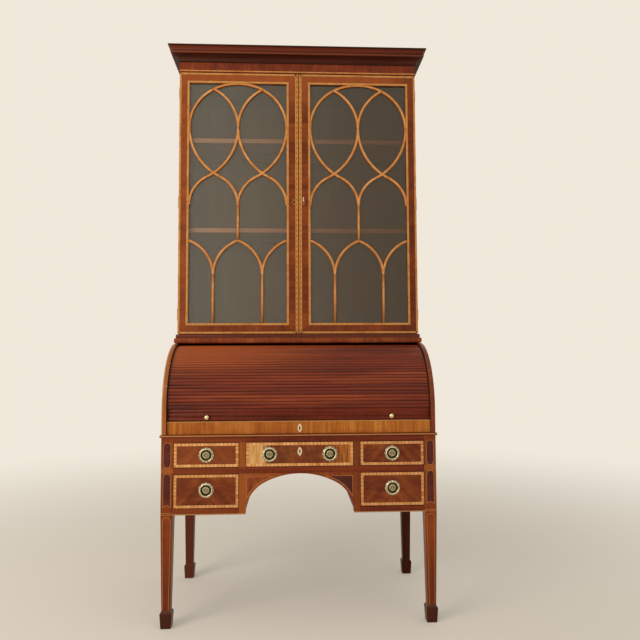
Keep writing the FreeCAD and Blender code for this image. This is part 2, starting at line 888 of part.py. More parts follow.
def hinge_levels():
    return [door_z + hinge_inset, (door_z + door_top_z) / 2, door_top_z - hinge_inset]


def knuckle_clearance(z):
    foot = Vec(hinge_x, hinge_y, z - hinge_height / 2 - knuckle_gap)
    return Part.makeCylinder(knuckle_radius + knuckle_play, hinge_height + 2 * knuckle_gap, foot, Vec(0, 0, 1))


def barrel(x, z0, z1, radius):
    # a many-sided barrel about the pin; radius is measured to the corners
    loops = []
    for z in (z0, z1):
        angles = [2 * math.pi * (i + 0.5) / knuckle_sides for i in range(knuckle_sides)]
        loops.append([Vec(x + radius * math.cos(a), hinge_y + radius * math.sin(a), z) for a in angles])
    return skin(loops)


def case_hinge_leaves():
    # the outer knuckles and the pin
    leaves = []
    half = hinge_height / 2
    middle = hinge_height * middle_knuckle_share / 2
    clear = knuckle_radius + knuckle_play
    for z in hinge_levels():
        leaf = box(hinge_x - hinge_offset - leaf_width, hinge_x, book_front_y, book_front_y + leaf_thickness, z - half, z + half)
        leaf = leaf.cut(box(hinge_x - clear, hinge_x + clear, hinge_y - clear, hinge_y + clear, z - middle, z + middle))
        low = barrel(hinge_x, z - half, z - middle - knuckle_gap / 2, knuckle_radius)
        high = barrel(hinge_x, z + middle + knuckle_gap / 2, z + half, knuckle_radius)
        pin = barrel(hinge_x, z - middle - knuckle_gap / 2, z + middle + knuckle_gap / 2, hinge_pin_radius)
        leaves += pair(joined([leaf, low, high, pin]))
    return leaves


def door_hinge_leaves():
    # leaves of the left door; the pin runs through the middle knuckle
    leaves = []
    half = hinge_height / 2
    middle = hinge_height * middle_knuckle_share / 2 - knuckle_gap / 2
    clear = knuckle_radius + knuckle_play
    for z in hinge_levels():
        leaf = box(-hinge_x, -hinge_x + hinge_offset + leaf_width, door_back_y - leaf_thickness, door_back_y, z - half, z + half)
        for low, high in ((z - half - overrun, z - middle), (z + middle, z + half + overrun)):
            leaf = leaf.cut(box(-hinge_x - clear, -hinge_x + clear, hinge_y - clear, hinge_y + clear, low, high))
        leaf = joined([leaf, barrel(-hinge_x, z - middle, z + middle, knuckle_radius)])
        bore = (hinge_pin_radius + hinge_pin_play) / math.cos(math.pi / knuckle_sides)
        leaves.append(leaf.cut(barrel(-hinge_x, z - middle - overrun, z + middle + overrun, bore)))
    return leaves


# Doors, drawn as the left door and mirrored

def door_frame():
    x0, x1 = -book_half, -door_meeting_gap / 2
    y0, y1 = door_y, door_back_y
    z0, z1 = door_z, door_top_z
    a, b = x0 + outer_stile_width, x1 - meeting_stile_width
    rail = door_rail_height
    rebate = box(a - rebate_width, b + rebate_width, y1 - rebate_depth, y1 + overrun,
                 z0 + rail - rebate_width, z1 - rail + rebate_width)
    outer = box(x0, a, y0, y1, z0, z1).cut(rebate)
    for z in hinge_levels():
        outer = outer.cut(mirrored(knuckle_clearance(z)))
        outer = outer.cut(box(x0 - overrun, x0 + leaf_width, y1 - leaf_thickness, y1 + overrun,
                              z - hinge_height / 2, z + hinge_height / 2))
    meeting = box(b, x1, y0, y1, z0, z1).cut(rebate)
    foot = box(a, b, y0, y1, z0, z0 + rail).cut(rebate)
    head = box(a, b, y0, y1, z1 - rail, z1).cut(rebate)
    return [outer, meeting, foot, head] + glazing_beads(a, b, y1, z0 + rail, z1 - rail)


def glazing_beads(a, b, back, low, high):
    # quarter rounds that hold the glass in its rebate
    y0 = back - rebate_depth + glass_play + glass_thickness + glass_play
    w = rebate_width
    size = glazing_bead

    def bead(start, first, second, run):
        # a quarter round in the corner at start
        edges = [
            line(start, start + first),
            arc(start + first, start + (first + second) * math.sqrt(0.5), start + second),
            line(start + second, start),
        ]
        return Part.Face(Part.Wire(edges)).extrude(run)

    deep = Vec(0, size, 0)
    return [
        bead(Vec(a - w, y0, low - w), Vec(size, 0, 0), deep, Vec(0, 0, high - low + 2 * w)),
        bead(Vec(b + w, y0, low - w), Vec(-size, 0, 0), deep, Vec(0, 0, high - low + 2 * w)),
        bead(Vec(a - w + size, y0, low - w), Vec(0, 0, size), deep, Vec(b - a + 2 * w - 2 * size, 0, 0)),
        bead(Vec(a - w + size, y0, high + w), Vec(0, 0, -size), deep, Vec(b - a + 2 * w - 2 * size, 0, 0)),
    ]


def door_glass():
    a, b = glass_centre_x - glass_half, glass_centre_x + glass_half
    reach = rebate_width - glass_play
    y0 = door_back_y - rebate_depth + glass_play
    return [box(a - reach, b + reach, y0, y0 + glass_thickness, glass_z - reach, glass_z + glass_height + reach)]


def tracery():
    y0 = door_y + tracery_setback
    depth = door_thickness - rebate_depth - tracery_setback
    half = glass_half
    quarter = half / 2
    waist = glass_z + glass_height * oval_waist_share
    oval_foot = glass_z + glass_height * oval_foot_share
    ogee_foot = glass_z + glass_height * ogee_foot_share
    point = glass_z + glass_height * point_share
    spring = glass_z + glass_height * spring_share
    top = glass_z + glass_height
    half_bar = tracery_width / 2

    def bow(cx, cz, radius, start, end):
        # part of a ring, angles in degrees from +X towards +Z
        middle = (start + end) / 2

        def at(r, angle):
            return Vec(glass_centre_x + cx + r * math.cos(math.radians(angle)), y0, cz + r * math.sin(math.radians(angle)))

        inner, outer = radius - half_bar, radius + half_bar
        edges = [
            arc(at(inner, start), at(inner, middle), at(inner, end)),
            line(at(inner, end), at(outer, end)),
            arc(at(outer, end), at(outer, middle), at(outer, start)),
            line(at(outer, start), at(inner, start)),
        ]
        return Part.Face(Part.Wire(edges)).extrude(Vec(0, depth, 0))

    def upright(x, low, high):
        x += glass_centre_x
        return box(x - half_bar, x + half_bar, y0, y0 + depth, low, high)

    # big arch: its crown touches the top rail, its haunches the stiles
    rise = min(top - waist, half * arch_rise_limit_share)
    arch_foot = top - rise
    haunch = rise * haunch_share
    haunch_x = half - haunch
    crown = (haunch_x ** 2 + rise ** 2 - haunch ** 2) / (2 * (rise - haunch))
    crown_z = top - crown
    lean = math.degrees(math.atan2(arch_foot - crown_z, haunch_x))
    bars = [bow(0, crown_z, crown, lean, half_turn - lean)]
    for side in (-1, 1):
        start = 0 if side > 0 else half_turn - lean
        bars.append(bow(side * haunch_x, arch_foot, haunch, start, start + lean))
    # inner arches spring from the middle and meet the big arch over the quarter points
    reach = math.degrees(math.acos((haunch - quarter) / haunch))
    bars.append(bow(-haunch, arch_foot, haunch, 0, reach))
    bars.append(bow(haunch, arch_foot, haunch, half_turn - reach, half_turn))
    # on a tall or narrow door the arches stand on uprights
    if arch_foot > waist + overrun:
        for x in (-half, 0, half):
            bars.append(upright(x, waist, arch_foot))
    # ogees: a large radius below the ovals' waist, then a small one to the next tangent
    drop = waist - ogee_foot
    both = (half ** 2 + drop ** 2) / (2 * half)
    to_foot = waist - oval_foot
    large = (to_foot ** 2 + quarter ** 2) / (2 * quarter)
    small = both - large
    turn = math.degrees(math.atan2(drop, both - half))
    for side in (-1, 1):
        edge, middle = side * half, 0
        # from the stile down to the middle bar
        if side < 0:
            bars.append(bow(edge + large, waist, large, half_turn, half_turn + turn))
            bars.append(bow(middle - small, ogee_foot, small, 0, turn))
            bars.append(bow(middle - large, waist, large, -turn, 0))
            bars.append(bow(edge + small, ogee_foot, small, half_turn - turn, half_turn))
        else:
            bars.append(bow(edge - large, waist, large, -turn, 0))
            bars.append(bow(middle + small, ogee_foot, small, half_turn - turn, half_turn))
            bars.append(bow(middle + large, waist, large, half_turn, half_turn + turn))
            bars.append(bow(edge - small, ogee_foot, small, 0, turn))
    bars.append(upright(0, point, ogee_foot))
    # pointed arches: each upright from the bottom rail forks to the middle bar and to the stile
    rise = point - spring
    fork = (rise ** 2 + quarter ** 2) / (2 * quarter)
    sweep = math.degrees(math.acos((fork - quarter) / fork))
    for side in (-1, 1):
        foot_x = side * quarter
        bars.append(upright(foot_x, glass_z, spring))
        bars.append(bow(foot_x + fork, spring, fork, half_turn - sweep, half_turn))
        bars.append(bow(foot_x - fork, spring, fork, 0, sweep))
    whole = bars[0].multiFuse(bars[1:])
    sight = box(glass_centre_x - half, glass_centre_x + half, y0, y0 + depth, glass_z, top)
    return [whole.common(sight).removeSplitter()]


def right_door_frame():
    solids = [mirrored(s) for s in door_frame()]
    meeting = solids[1]
    hole = Part.makeCylinder(key_shank_radius + key_play, door_thickness + 2 * overrun,
                             Vec(lock_inset, door_y - overrun, lock_z), Vec(0, 1, 0))
    pocket = Part.makeCylinder(lock_pocket_radius, lock_pocket_depth + overrun,
                               Vec(lock_inset, door_back_y - lock_pocket_depth, lock_z), Vec(0, 1, 0))
    plate = lock_plate_box(overrun)
    inlay = escutcheon_outline(lock_inset, door_y - overrun, lock_z, escutcheon_thickness + overrun,
                               door_escutcheon_width, door_escutcheon_height)
    solids[1] = meeting.cut(hole).cut(pocket).cut(plate).cut(inlay)
    return solids


def lock_plate_box(rise):
    half = lock_plate_width / 2
    x0 = lock_inset - half
    return box(x0, lock_inset + half, door_back_y - lock_plate_thickness, door_back_y + rise,
               lock_z - lock_plate_height / 2, lock_z + lock_plate_height / 2)


def left_door_frame():
    solids = door_frame()
    inlay = escutcheon_outline(-lock_inset, door_y - overrun, lock_z, escutcheon_thickness + overrun,
                               door_escutcheon_width, door_escutcheon_height)
    solids[1] = solids[1].cut(inlay)
    return solids


def door_escutcheon(side):
    plate = escutcheon_outline(side * lock_inset, door_y, lock_z, escutcheon_thickness,
                               door_escutcheon_width, door_escutcheon_height)
    if side > 0:
        plate = plate.cut(Part.makeCylinder(key_shank_radius + key_play, escutcheon_thickness + 2 * overrun,
                                            Vec(lock_inset, door_y - overrun, lock_z), Vec(0, 1, 0)))
    return [plate]


def door_lock_plate():
    return [lock_plate_box(0)]


def door_key():
    # an upright ring bow, a round shank and a flat bit inside the lock
    x, z = lock_inset, lock_z
    inner_end = door_back_y - lock_plate_thickness - knuckle_gap
    bow_y = door_y - key_reach - key_bow_radius
    start = bow_y + (key_bow_radius + key_bow_hole_radius) / 2
    shank = Part.makeCylinder(key_shank_radius, inner_end - start, Vec(x, start, z), Vec(0, 1, 0))
    half = key_bow_thickness / 2
    loops = []
    for i in range(key_bow_sides):
        turn = 2 * math.pi * i / key_bow_sides
        loop = []
        for radius, across in ((key_bow_hole_radius, -half), (key_bow_radius, -half), (key_bow_radius, half), (key_bow_hole_radius, half)):
            loop.append(Vec(x + across, bow_y + radius * math.cos(turn), z + radius * math.sin(turn)))
        loops.append(loop)
    bow = skin(loops, True)
    thick = key_bit_thickness / 2
    bit_start = door_back_y - lock_pocket_depth + knuckle_gap
    bit = box(x - thick, x + thick, bit_start, bit_start + key_bit_width, z - key_shank_radius - key_bit_length, z)
    return [joined([bow, shank, bit])]


# Drawers: name, left and right of the opening, its foot and its height

def drawer_openings():
    top, low = top_opening_z, lower_opening_z
    return {
        "top_left": (-post_inner_x, -divider_outer_x, top, top_drawer_height),
        "top_centre": (-centre_half, centre_half, top, top_drawer_height),
        "top_right": (divider_outer_x, post_inner_x, top, top_drawer_height),
        "lower_left": (-post_inner_x, -divider_outer_x, low, lower_drawer_height),
        "lower_right": (divider_outer_x, post_inner_x, low, lower_drawer_height),
    }


def pull_places(name):
    x0, x1, z, height = drawer_openings()[name]
    middle = (x0 + x1) / 2
    if name == "top_centre":
        return [(-centre_pull_spacing / 2, z + height / 2), (centre_pull_spacing / 2, z + height / 2)]
    rise = lower_pull_rise if name.startswith("lower") else 0
    return [(middle, z + height / 2 + rise)]


def drawer_parts(name):
    x0, x1, z, height = drawer_openings()[name]
    gap = drawer_gap
    thick = drawer_front_thickness
    front = box(x0 + gap, x1 - gap, front_y, front_y + thick, z + gap, z + height - gap)
    low = z + drawer_running_gap
    high = z + height - drawer_head_room
    side_y = front_y + thick - drawer_lap
    rear = front_y + drawer_box_depth
    left = x0 + gap + drawer_running_gap
    right = x1 - gap - drawer_running_gap
    wall = drawer_side_thickness
    floor_z = low + drawer_bottom_rise
    floor_top = floor_z + drawer_bottom_thickness
    inner_y = front_y + thick
    # the bottom slides in grooves in the front and sides, under the back
    panel = box(left + wall - drawer_groove_depth, right - wall + drawer_groove_depth,
                inner_y - drawer_front_groove_depth, rear, floor_z, floor_top)
    sides = []
    for a in (left, right - wall):
        side = box(a, a + wall, side_y, rear, low, high)
        sides.append(side.cut(panel))
        front = front.cut(box(a, a + wall, side_y, inner_y + overrun, z + gap - overrun, high))
    front = front.cut(panel)
    back = box(left + wall, right - wall, rear - wall, rear, floor_top, high)
    if name == "top_centre":
        e_z = z + height / 2 + drawer_escutcheon_rise
        front = front.cut(escutcheon_outline(0, front_y - overrun, e_z, escutcheon_thickness + overrun))
        front = front.cut(keyhole(0, front_y, e_z))
    return [front], [sides[0], sides[1], back, panel]


def drawer_escutcheon():
    x0, x1, z, height = drawer_openings()["top_centre"]
    return [escutcheon(0, front_y, z + height / 2 + drawer_escutcheon_rise)]


def pull_rose(x, z):
    # a dished rose with a bead at its rim, a domed boss and an eye for the ring
    heights = [
        (pull_radius, 0),
        (pull_radius, pull_edge_height),
        ((pull_radius + pull_rim_radius) / 2, pull_rim_height * 0.86),
        (pull_rim_radius, pull_rim_height),
        ((pull_rim_radius + pull_dish_radius) / 2, pull_rim_height * 0.72),
        (pull_dish_radius, pull_dish_height),
        (pull_boss_radius, pull_dish_height),
        (pull_boss_radius * 0.84, pull_boss_height * 0.62),
        (pull_boss_radius * 0.50, pull_boss_height * 0.92),
        (pull_boss_radius * 0.16, pull_boss_height),
    ]
    rose = turned(x, z, [(r, front_y - h) for r, h in heights], rose_sides)
    axis_y = front_y - ring_axis_height
    axis_z = z + ring_radius
    bore_radius = (ring_wire_radius + ring_play) / math.cos(math.pi / ring_wire_sides)
    eye_radius = ring_wire_radius + ring_play + lug_wall
    half = lug_width / 2

    def octagon(radius, at_x):
        return [Vec(at_x, axis_y + radius * math.sin(a), axis_z + radius * math.cos(a))
                for a in [2 * math.pi * (j + 0.5) / ring_wire_sides for j in range(ring_wire_sides)]]

    eye = skin([octagon(eye_radius, x - half), octagon(eye_radius, x + half)])
    # the eye is flat where it meets the drawer
    eye = eye.cut(box(x - half - overrun, x + half + overrun, front_y, front_y + eye_radius + overrun,
                      axis_z - eye_radius - overrun, axis_z + eye_radius + overrun))
    root = box(x - half, x + half, axis_y, front_y, axis_z - eye_radius, z + pull_rim_radius)
    bore = skin([octagon(bore_radius, x - half - overrun), octagon(bore_radius, x + half + overrun)])
    return joined([rose, root, eye]).cut(bore)


def pull_ring(x, z):
    return hoop(x, front_y - ring_axis_height, z, ring_radius, ring_wire_radius, ring_sides, ring_wire_sides)


save("front_legs", front_legs())
save("rear_legs", rear_legs())
save("desk_sides", desk_sides())
save("case_backs", desk_back() + gable_back())
save("front_rails", front_rails())
save("kneehole_apron", kneehole_apron())
save("drawer_dividers", drawer_dividers())
save("inner_boards", kneehole_sides() + dust_boards())
save("writing_bed", writing_bed())
save("leather_skiver", leather_skiver())
save("gables", gables())
save("tambour_slats", tambour_slats())
save("tambour_canvas", tambour_canvas())
save("tambour_rail", tambour_rail())
save("tambour_knobs", tambour_knobs())
save("rail_escutcheon", rail_escutcheon())
save("pigeonhole_nest", pigeonhole_nest())
save("waist_board", waist_board())
save("base_moulding", base_moulding())
save("bookcase_sides", bookcase_sides())
save("bookcase_boards", bookcase_boards())
save("bookcase_back", bookcase_back())
save("bookcase_shelves", bookcase_shelves())
save("frieze", frieze())
save("cornice", cornice())
save("case_hinge_leaves", case_hinge_leaves())
save("left_door_frame", left_door_frame())
save("right_door_frame", right_door_frame())
for side_name, turn in (("left", False), ("right", True)):
    leaf_solids = door_hinge_leaves()
    tracery_solids = tracery()
    glass_solids = door_glass()
    if turn:
        leaf_solids = [mirrored(s) for s in leaf_solids]
        tracery_solids = [mirrored(s) for s in tracery_solids]
        glass_solids = [mirrored(s) for s in glass_solids]
    save(side_name + "_door_hinge_leaves", leaf_solids)
    save(side_name + "_door_tracery", tracery_solids)
    save(side_name + "_door_glass", glass_solids)
save("left_door_escutcheon", door_escutcheon(-1))
save("right_door_escutcheon", door_escutcheon(1))
save("right_door_lock", door_lock_plate())
save("door_key", door_key())
for drawer_name in drawer_openings():
    front_solids, box_solids = drawer_parts(drawer_name)
    places = pull_places(drawer_name)
    save("drawer_" + drawer_name + "_front", front_solids)
    save("drawer_" + drawer_name + "_box", box_solids)
    save("drawer_" + drawer_name + "_roses", [pull_rose(x, z) for x, z in places])
    if len(places) == 1:
        save("drawer_" + drawer_name + "_ring", [pull_ring(*places[0])])
    else:
        save("drawer_" + drawer_name + "_ring_left", [pull_ring(*places[0])])
        save("drawer_" + drawer_name + "_ring_right", [pull_ring(*places[1])])
save("drawer_escutcheon", drawer_escutcheon())
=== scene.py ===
import math

import bpy
from mathutils import Matrix, Vector


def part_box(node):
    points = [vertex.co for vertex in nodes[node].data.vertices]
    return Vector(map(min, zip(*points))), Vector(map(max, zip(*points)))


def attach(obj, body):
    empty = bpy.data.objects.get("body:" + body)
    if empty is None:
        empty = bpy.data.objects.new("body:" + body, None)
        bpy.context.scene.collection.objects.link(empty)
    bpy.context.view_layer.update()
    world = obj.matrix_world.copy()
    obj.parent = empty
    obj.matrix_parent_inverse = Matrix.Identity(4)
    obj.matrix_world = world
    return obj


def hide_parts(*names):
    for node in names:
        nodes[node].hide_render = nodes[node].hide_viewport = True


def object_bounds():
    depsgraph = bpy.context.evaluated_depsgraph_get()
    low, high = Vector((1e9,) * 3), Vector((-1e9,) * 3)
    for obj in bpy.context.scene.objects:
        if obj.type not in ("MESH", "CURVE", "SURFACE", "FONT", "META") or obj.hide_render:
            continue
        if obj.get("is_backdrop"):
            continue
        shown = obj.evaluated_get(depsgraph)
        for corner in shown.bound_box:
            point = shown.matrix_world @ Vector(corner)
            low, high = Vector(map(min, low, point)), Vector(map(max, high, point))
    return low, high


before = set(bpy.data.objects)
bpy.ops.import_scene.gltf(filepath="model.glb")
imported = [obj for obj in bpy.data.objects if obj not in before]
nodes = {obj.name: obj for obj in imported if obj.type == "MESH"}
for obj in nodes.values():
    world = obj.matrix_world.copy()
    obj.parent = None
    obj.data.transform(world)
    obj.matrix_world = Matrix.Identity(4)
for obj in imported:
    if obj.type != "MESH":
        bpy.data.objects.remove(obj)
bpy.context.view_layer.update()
mm = 0.001
scene = bpy.context.scene
print("frame loaded:", len(nodes), "nodes")


# Helpers for shaders
def linearColour(code):
    # sRGB hex to the linear numbers that the sockets take
    parts = [int(code[i:i + 2], 16) / 255 for i in (1, 3, 5)]
    return tuple(p / 12.92 if p <= 0.04045 else ((p + 0.055) / 1.055) ** 2.4 for p in parts) + (1.0,)


def measure(tree, name):
    # a number at each point: where it is, the way it faces, its run on an inlay, or one of measures
    if name in measures:
        return measures[name](tree)
    if name.startswith("band"):
        vector = addNode(tree, "UVMap", uv_map="band")
    else:
        vector = addNode(tree, "TexCoord", give="Normal" if name.startswith("facing") else "Object")
    return addNode(tree, "SeparateXYZ", vector, give=name[-1])


def settled(tree, value):
    # a sum such as ("MULTIPLY", "X", 2) and the name of a measure become nodes, a hex colour turns linear
    if isinstance(value, str):
        return linearColour(value) if value.startswith("#") else settled(tree, measure(tree, value))
    if isinstance(value, tuple) and isinstance(value[0], str):
        return addNode(tree, "Math", *value[1:], operation=value[0])
    return value


def plug(tree, socket, value):
    value = settled(tree, value)
    if isinstance(value, bpy.types.NodeSocket):
        tree.links.new(value, socket)
    else:
        socket.default_value = value


def addNode(tree, kind, *inputs, give=None, stops=(), **named):
    # one node: inputs in order or by their capital names, settings by their small names, stops of a ramp
    node = tree.nodes.new(kind if kind.startswith(("Geometry", "NodeGroup")) else "ShaderNode" + kind)
    for name, value in named.items():
        if name[0].islower():
            setattr(node, name, value)
    live = [socket for socket in node.inputs if socket.enabled]
    for socket, value in zip(live, inputs):
        plug(tree, socket, value)
    for name, value in named.items():
        if name[0].isupper():
            plug(tree, node.inputs[name.replace("_", " ")], value)
    for extra in stops[2:]:
        node.color_ramp.elements.new(0.5)
    for i, (position, code) in enumerate(stops):
        element = node.color_ramp.elements[i]
        element.position = position
        element.color = linearColour(code) if isinstance(code, str) else (code, code, code, 1.0)
    return node.outputs[give] if give else next((socket for socket in node.outputs if socket.enabled), None)


def newMaterial(name, look):
    # look(tree) says what goes into each socket of the shader
    material = bpy.data.materials.new(name)
    material.use_nodes = True
    tree = material.node_tree
    tree.nodes.clear()
    shader = tree.nodes.new("ShaderNodeBsdfPrincipled")
    addNode(tree, "OutputMaterial", Surface=shader.outputs["BSDF"])
    for socket, value in look(tree).items():
        plug(tree, shader.inputs[socket], value)
    return material


def apart(what, level):
    # how far a measure is from a level
    return ("ABSOLUTE", ("SUBTRACT", what, level))


def within(tree, limit):
    # 0 to 1 between two values of a measure, or what a ramp says of it; a list takes the greater of two
    if isinstance(limit, list):
        return ("MAXIMUM", within(tree, limit[0]), within(tree, limit[1]))
    what, *ends = limit
    if isinstance(ends[0], list):
        return addNode(tree, "ValToRGB", what, stops=ends[0])
    return addNode(tree, "MapRange", what, *ends, interpolation_type="SMOOTHSTEP")


def stained(tree, base, layers):
    # each layer is a colour, how much of it there is, and the limits that it keeps within; layers are stains
    # and wear, and also painted light and shade
    for colour, share, *limits in layers:
        for limit in limits:
            share = ("MULTIPLY", within(tree, limit), share)
        if isinstance(colour, tuple):
            colour = addNode(tree, "ValToRGB", colour[0], stops=colour[1])
        base = addNode(tree, "Mix", share, base, colour, data_type="RGBA")
    return base


def boxInMm(name):
    low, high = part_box(name)
    return [v / mm for v in (low.x, high.x, low.y, high.y, low.z, high.z)]


# Woods: three tones, length and width of a streak in mm, share of ribbon figure, roughness and shine
woods = {
    "mahogany": {"dark": "#451506", "mid": "#773014", "light": "#9A4A21", "streak": (260, 9), "ribbon": 0.30,
                 "rough": (0.28, 0.42), "shine": 0.20},
    "crossMahogany": {"dark": "#4B1807", "mid": "#7B3113", "light": "#9B4B1F", "streak": (60, 5),
                      "ribbon": 0.20, "rough": (0.28, 0.42), "shine": 0.20},
    "satinwood": {"dark": "#B06A30", "mid": "#DA9A56", "light": "#F4C890", "streak": (45, 6), "ribbon": 0.25,
                  "rough": (0.28, 0.40), "shine": 0.20},
    "oak": {"dark": "#7A5834", "mid": "#A07C50", "light": "#BC9A6C", "streak": (200, 5), "ribbon": 0.15,
            "rough": (0.50, 0.62), "shine": 0.20},
    "pine": {"dark": "#6E4526", "mid": "#8C5E36", "light": "#A67B4C", "streak": (320, 14), "ribbon": 0.15,
             "rough": (0.55, 0.68), "shine": 0.15},
}


def woodColour(tree, look, vector, seed=0.0, extra=None):
    # colour of one piece of wood, the number near 0 to 1 that its grain gives, and its pores
    def noise(along, across, detail, start=0.0, **more):
        scaled = addNode(tree, "VectorMath", vector, (along, across, across), operation="MULTIPLY")
        moved = addNode(tree, "VectorMath", scaled, (start, start * 1.7, start * 0.6), operation="ADD")
        return addNode(tree, "TexNoise", moved, Scale=1.0, Detail=detail, **more)

    long, wide = look["streak"]
    half = look["ribbon"] / 2
    streaks = noise(1000 / long, 1000 / wide, 4.0, seed, Roughness=0.62, Distortion=0.35)
    drift = noise(350 / long, 130 / wide, 2.0, Distortion=0.8)
    ribbon = noise(38.0, 6.0, 1.5, Distortion=1.2)
    pores = noise(90.0, 1600.0, 1.0)
    total = ("ADD", ("MULTIPLY", streaks, 0.50), ("MULTIPLY", drift, 0.50 - half))
    total = ("ADD", total, ("MULTIPLY", ribbon, half))
    total = settled(tree, total if extra is None else ("ADD", total, extra))
    stops = [(0.30, look["dark"]), (0.50, look["mid"]), (0.70, look["light"])]
    base = addNode(tree, "ValToRGB", total, stops=stops)
    return stained(tree, base, [(look["dark"], 0.35, (pores, 0.60, 0.72))]), total, pores


def woodLook(tree, look, vector, seed, extra, layers):
    base, total, pores = woodColour(tree, look, vector, seed, extra)
    return {"Base Color": stained(tree, base, layers), "Specular IOR Level": look["shine"],
            "Roughness": addNode(tree, "MapRange", total, 0.35, 0.65, *look["rough"]),
            "Normal": addNode(tree, "Bump", Strength=0.12, Distance=0.0006, Height=pores)}


turns = {"x": (0, 0, 0), "y": (0, 0, math.radians(-90)), "z": (0, math.radians(90), 0)}


def woodMaterial(name, wood, way, extra=None, seed=0.0, wearAndLight=None, **changes):
    # the fibres run along x, y or z of the part
    def look(tree):
        turned = addNode(tree, "Mapping", addNode(tree, "TexCoord", give="Object"), Rotation=turns[way])
        figure = extra(tree) if extra else None
        return woodLook(tree, dict(woods[wood], **changes), turned, seed, figure, stainsAndPaintedLight.get(wearAndLight, []))

    return newMaterial(name, look)


def bandMaterial(name, wood, leaf=14.4, spread=0.10, joint=0.5, wearAndLight=None, **changes):
    # crossbanding laid in short leaves, each of its own tone: the fibres run across the band
    def look(tree):
        tones = dict(woods[wood], **changes)
        along = ("MULTIPLY", "band X", 1000 / leaf)
        tone = addNode(tree, "TexWhiteNoise", ("FLOOR", along), noise_dimensions="1D")
        # each leaf is a little darker towards its joints
        edge = (apart(("FRACT", along), 0.5), 0.20, 0.50, 0.0, joint)
        crossed = addNode(tree, "CombineXYZ", "band Y", "band X")
        offset = ("MULTIPLY", ("SUBTRACT", tone, 0.5), spread)
        layers = [(tones["dark"], 1.0, edge)] + stainsAndPaintedLight.get(wearAndLight, [])
        return woodLook(tree, tones, crossed, 0.0, offset, layers)

    return newMaterial(name, look)


# Figures of the veneers
def slatTones(tree):
    # every slat was cut from its own board, so each has its own tone
    tone = addNode(tree, "TexWhiteNoise", ("FLOOR", "slat"), noise_dimensions="1D")
    return ("MULTIPLY", ("SUBTRACT", tone, 0.5), 0.15)


def feather(tree, x, z, slope, seed):
    # streaks of a curl veneer that fall away from the line x = 0
    cross = 1 - slope * 0.4
    across = ("ADD", ("MULTIPLY", x, slope), ("MULTIPLY", z, cross))
    down = ("SUBTRACT", ("MULTIPLY", z, slope), ("MULTIPLY", x, cross))
    vector = addNode(tree, "CombineXYZ", ("MULTIPLY", across, 52.0), ("MULTIPLY", down, 7.0), seed)
    streaks = addNode(tree, "TexNoise", vector, Scale=1.0, Detail=1.5, Roughness=0.5, Distortion=0.6)
    return ("MULTIPLY", ("SUBTRACT", streaks, 0.5), 0.46)


def flame(tree):
    # book-matched about the middle of each side drawer
    return feather(tree, apart(("ABSOLUTE", "X"), 0.35175), "Z", 0.75, 2.0)


def middleFlame(tree):
    return feather(tree, "X", ("MULTIPLY", "Z", 0.35), 0.92, 5.0)


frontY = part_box("drawer_top_left_front")[0].y
# pitch is the angle of one slat as seen from the centre of the quadrant ends
curtain = {"y": frontY + 254 * mm, "z": 805 * mm, "pitch": math.radians(3.1), "first": 40.0}
cornice = boxInMm("cornice")
print("face of the desk at", round(frontY, 4))


def slatMeasure(tree):
    # how many slats up the curve from the level of the quadrant's centre
    angle = ("ARCTAN2", ("SUBTRACT", "Z", curtain["z"]), ("SUBTRACT", curtain["y"], "Y"))
    return ("ADD", ("DIVIDE", angle, curtain["pitch"]), curtain["first"])


def riseMeasure(tree):
    # 0 at the foot of the cornice and 1 at its top
    return ("DIVIDE", ("SUBTRACT", "Z", cornice[4] * mm), (cornice[5] - cornice[4]) * mm)


def sapMeasure(tree):
    # x on the middle drawer, wandering as the edge of the sapwood does
    wander = addNode(tree, "TexNoise", Scale=22.0, Detail=3.0)
    return ("ADD", "X", ("MULTIPLY", ("SUBTRACT", wander, 0.5), 0.05))


def fibreMeasure(tree):
    # lines of the grain in the sapwood, which lean a little
    leaning = addNode(tree, "Mapping", addNode(tree, "TexCoord", give="Object"), Scale=(160.0, 20.0, 14.0),
                      Rotation=(0, math.radians(12), 0))
    return addNode(tree, "TexNoise", leaning, Scale=1.0, Detail=3.0)


measures = {"slat": slatMeasure, "rise": riseMeasure, "sap": sapMeasure, "fibres": fibreMeasure}
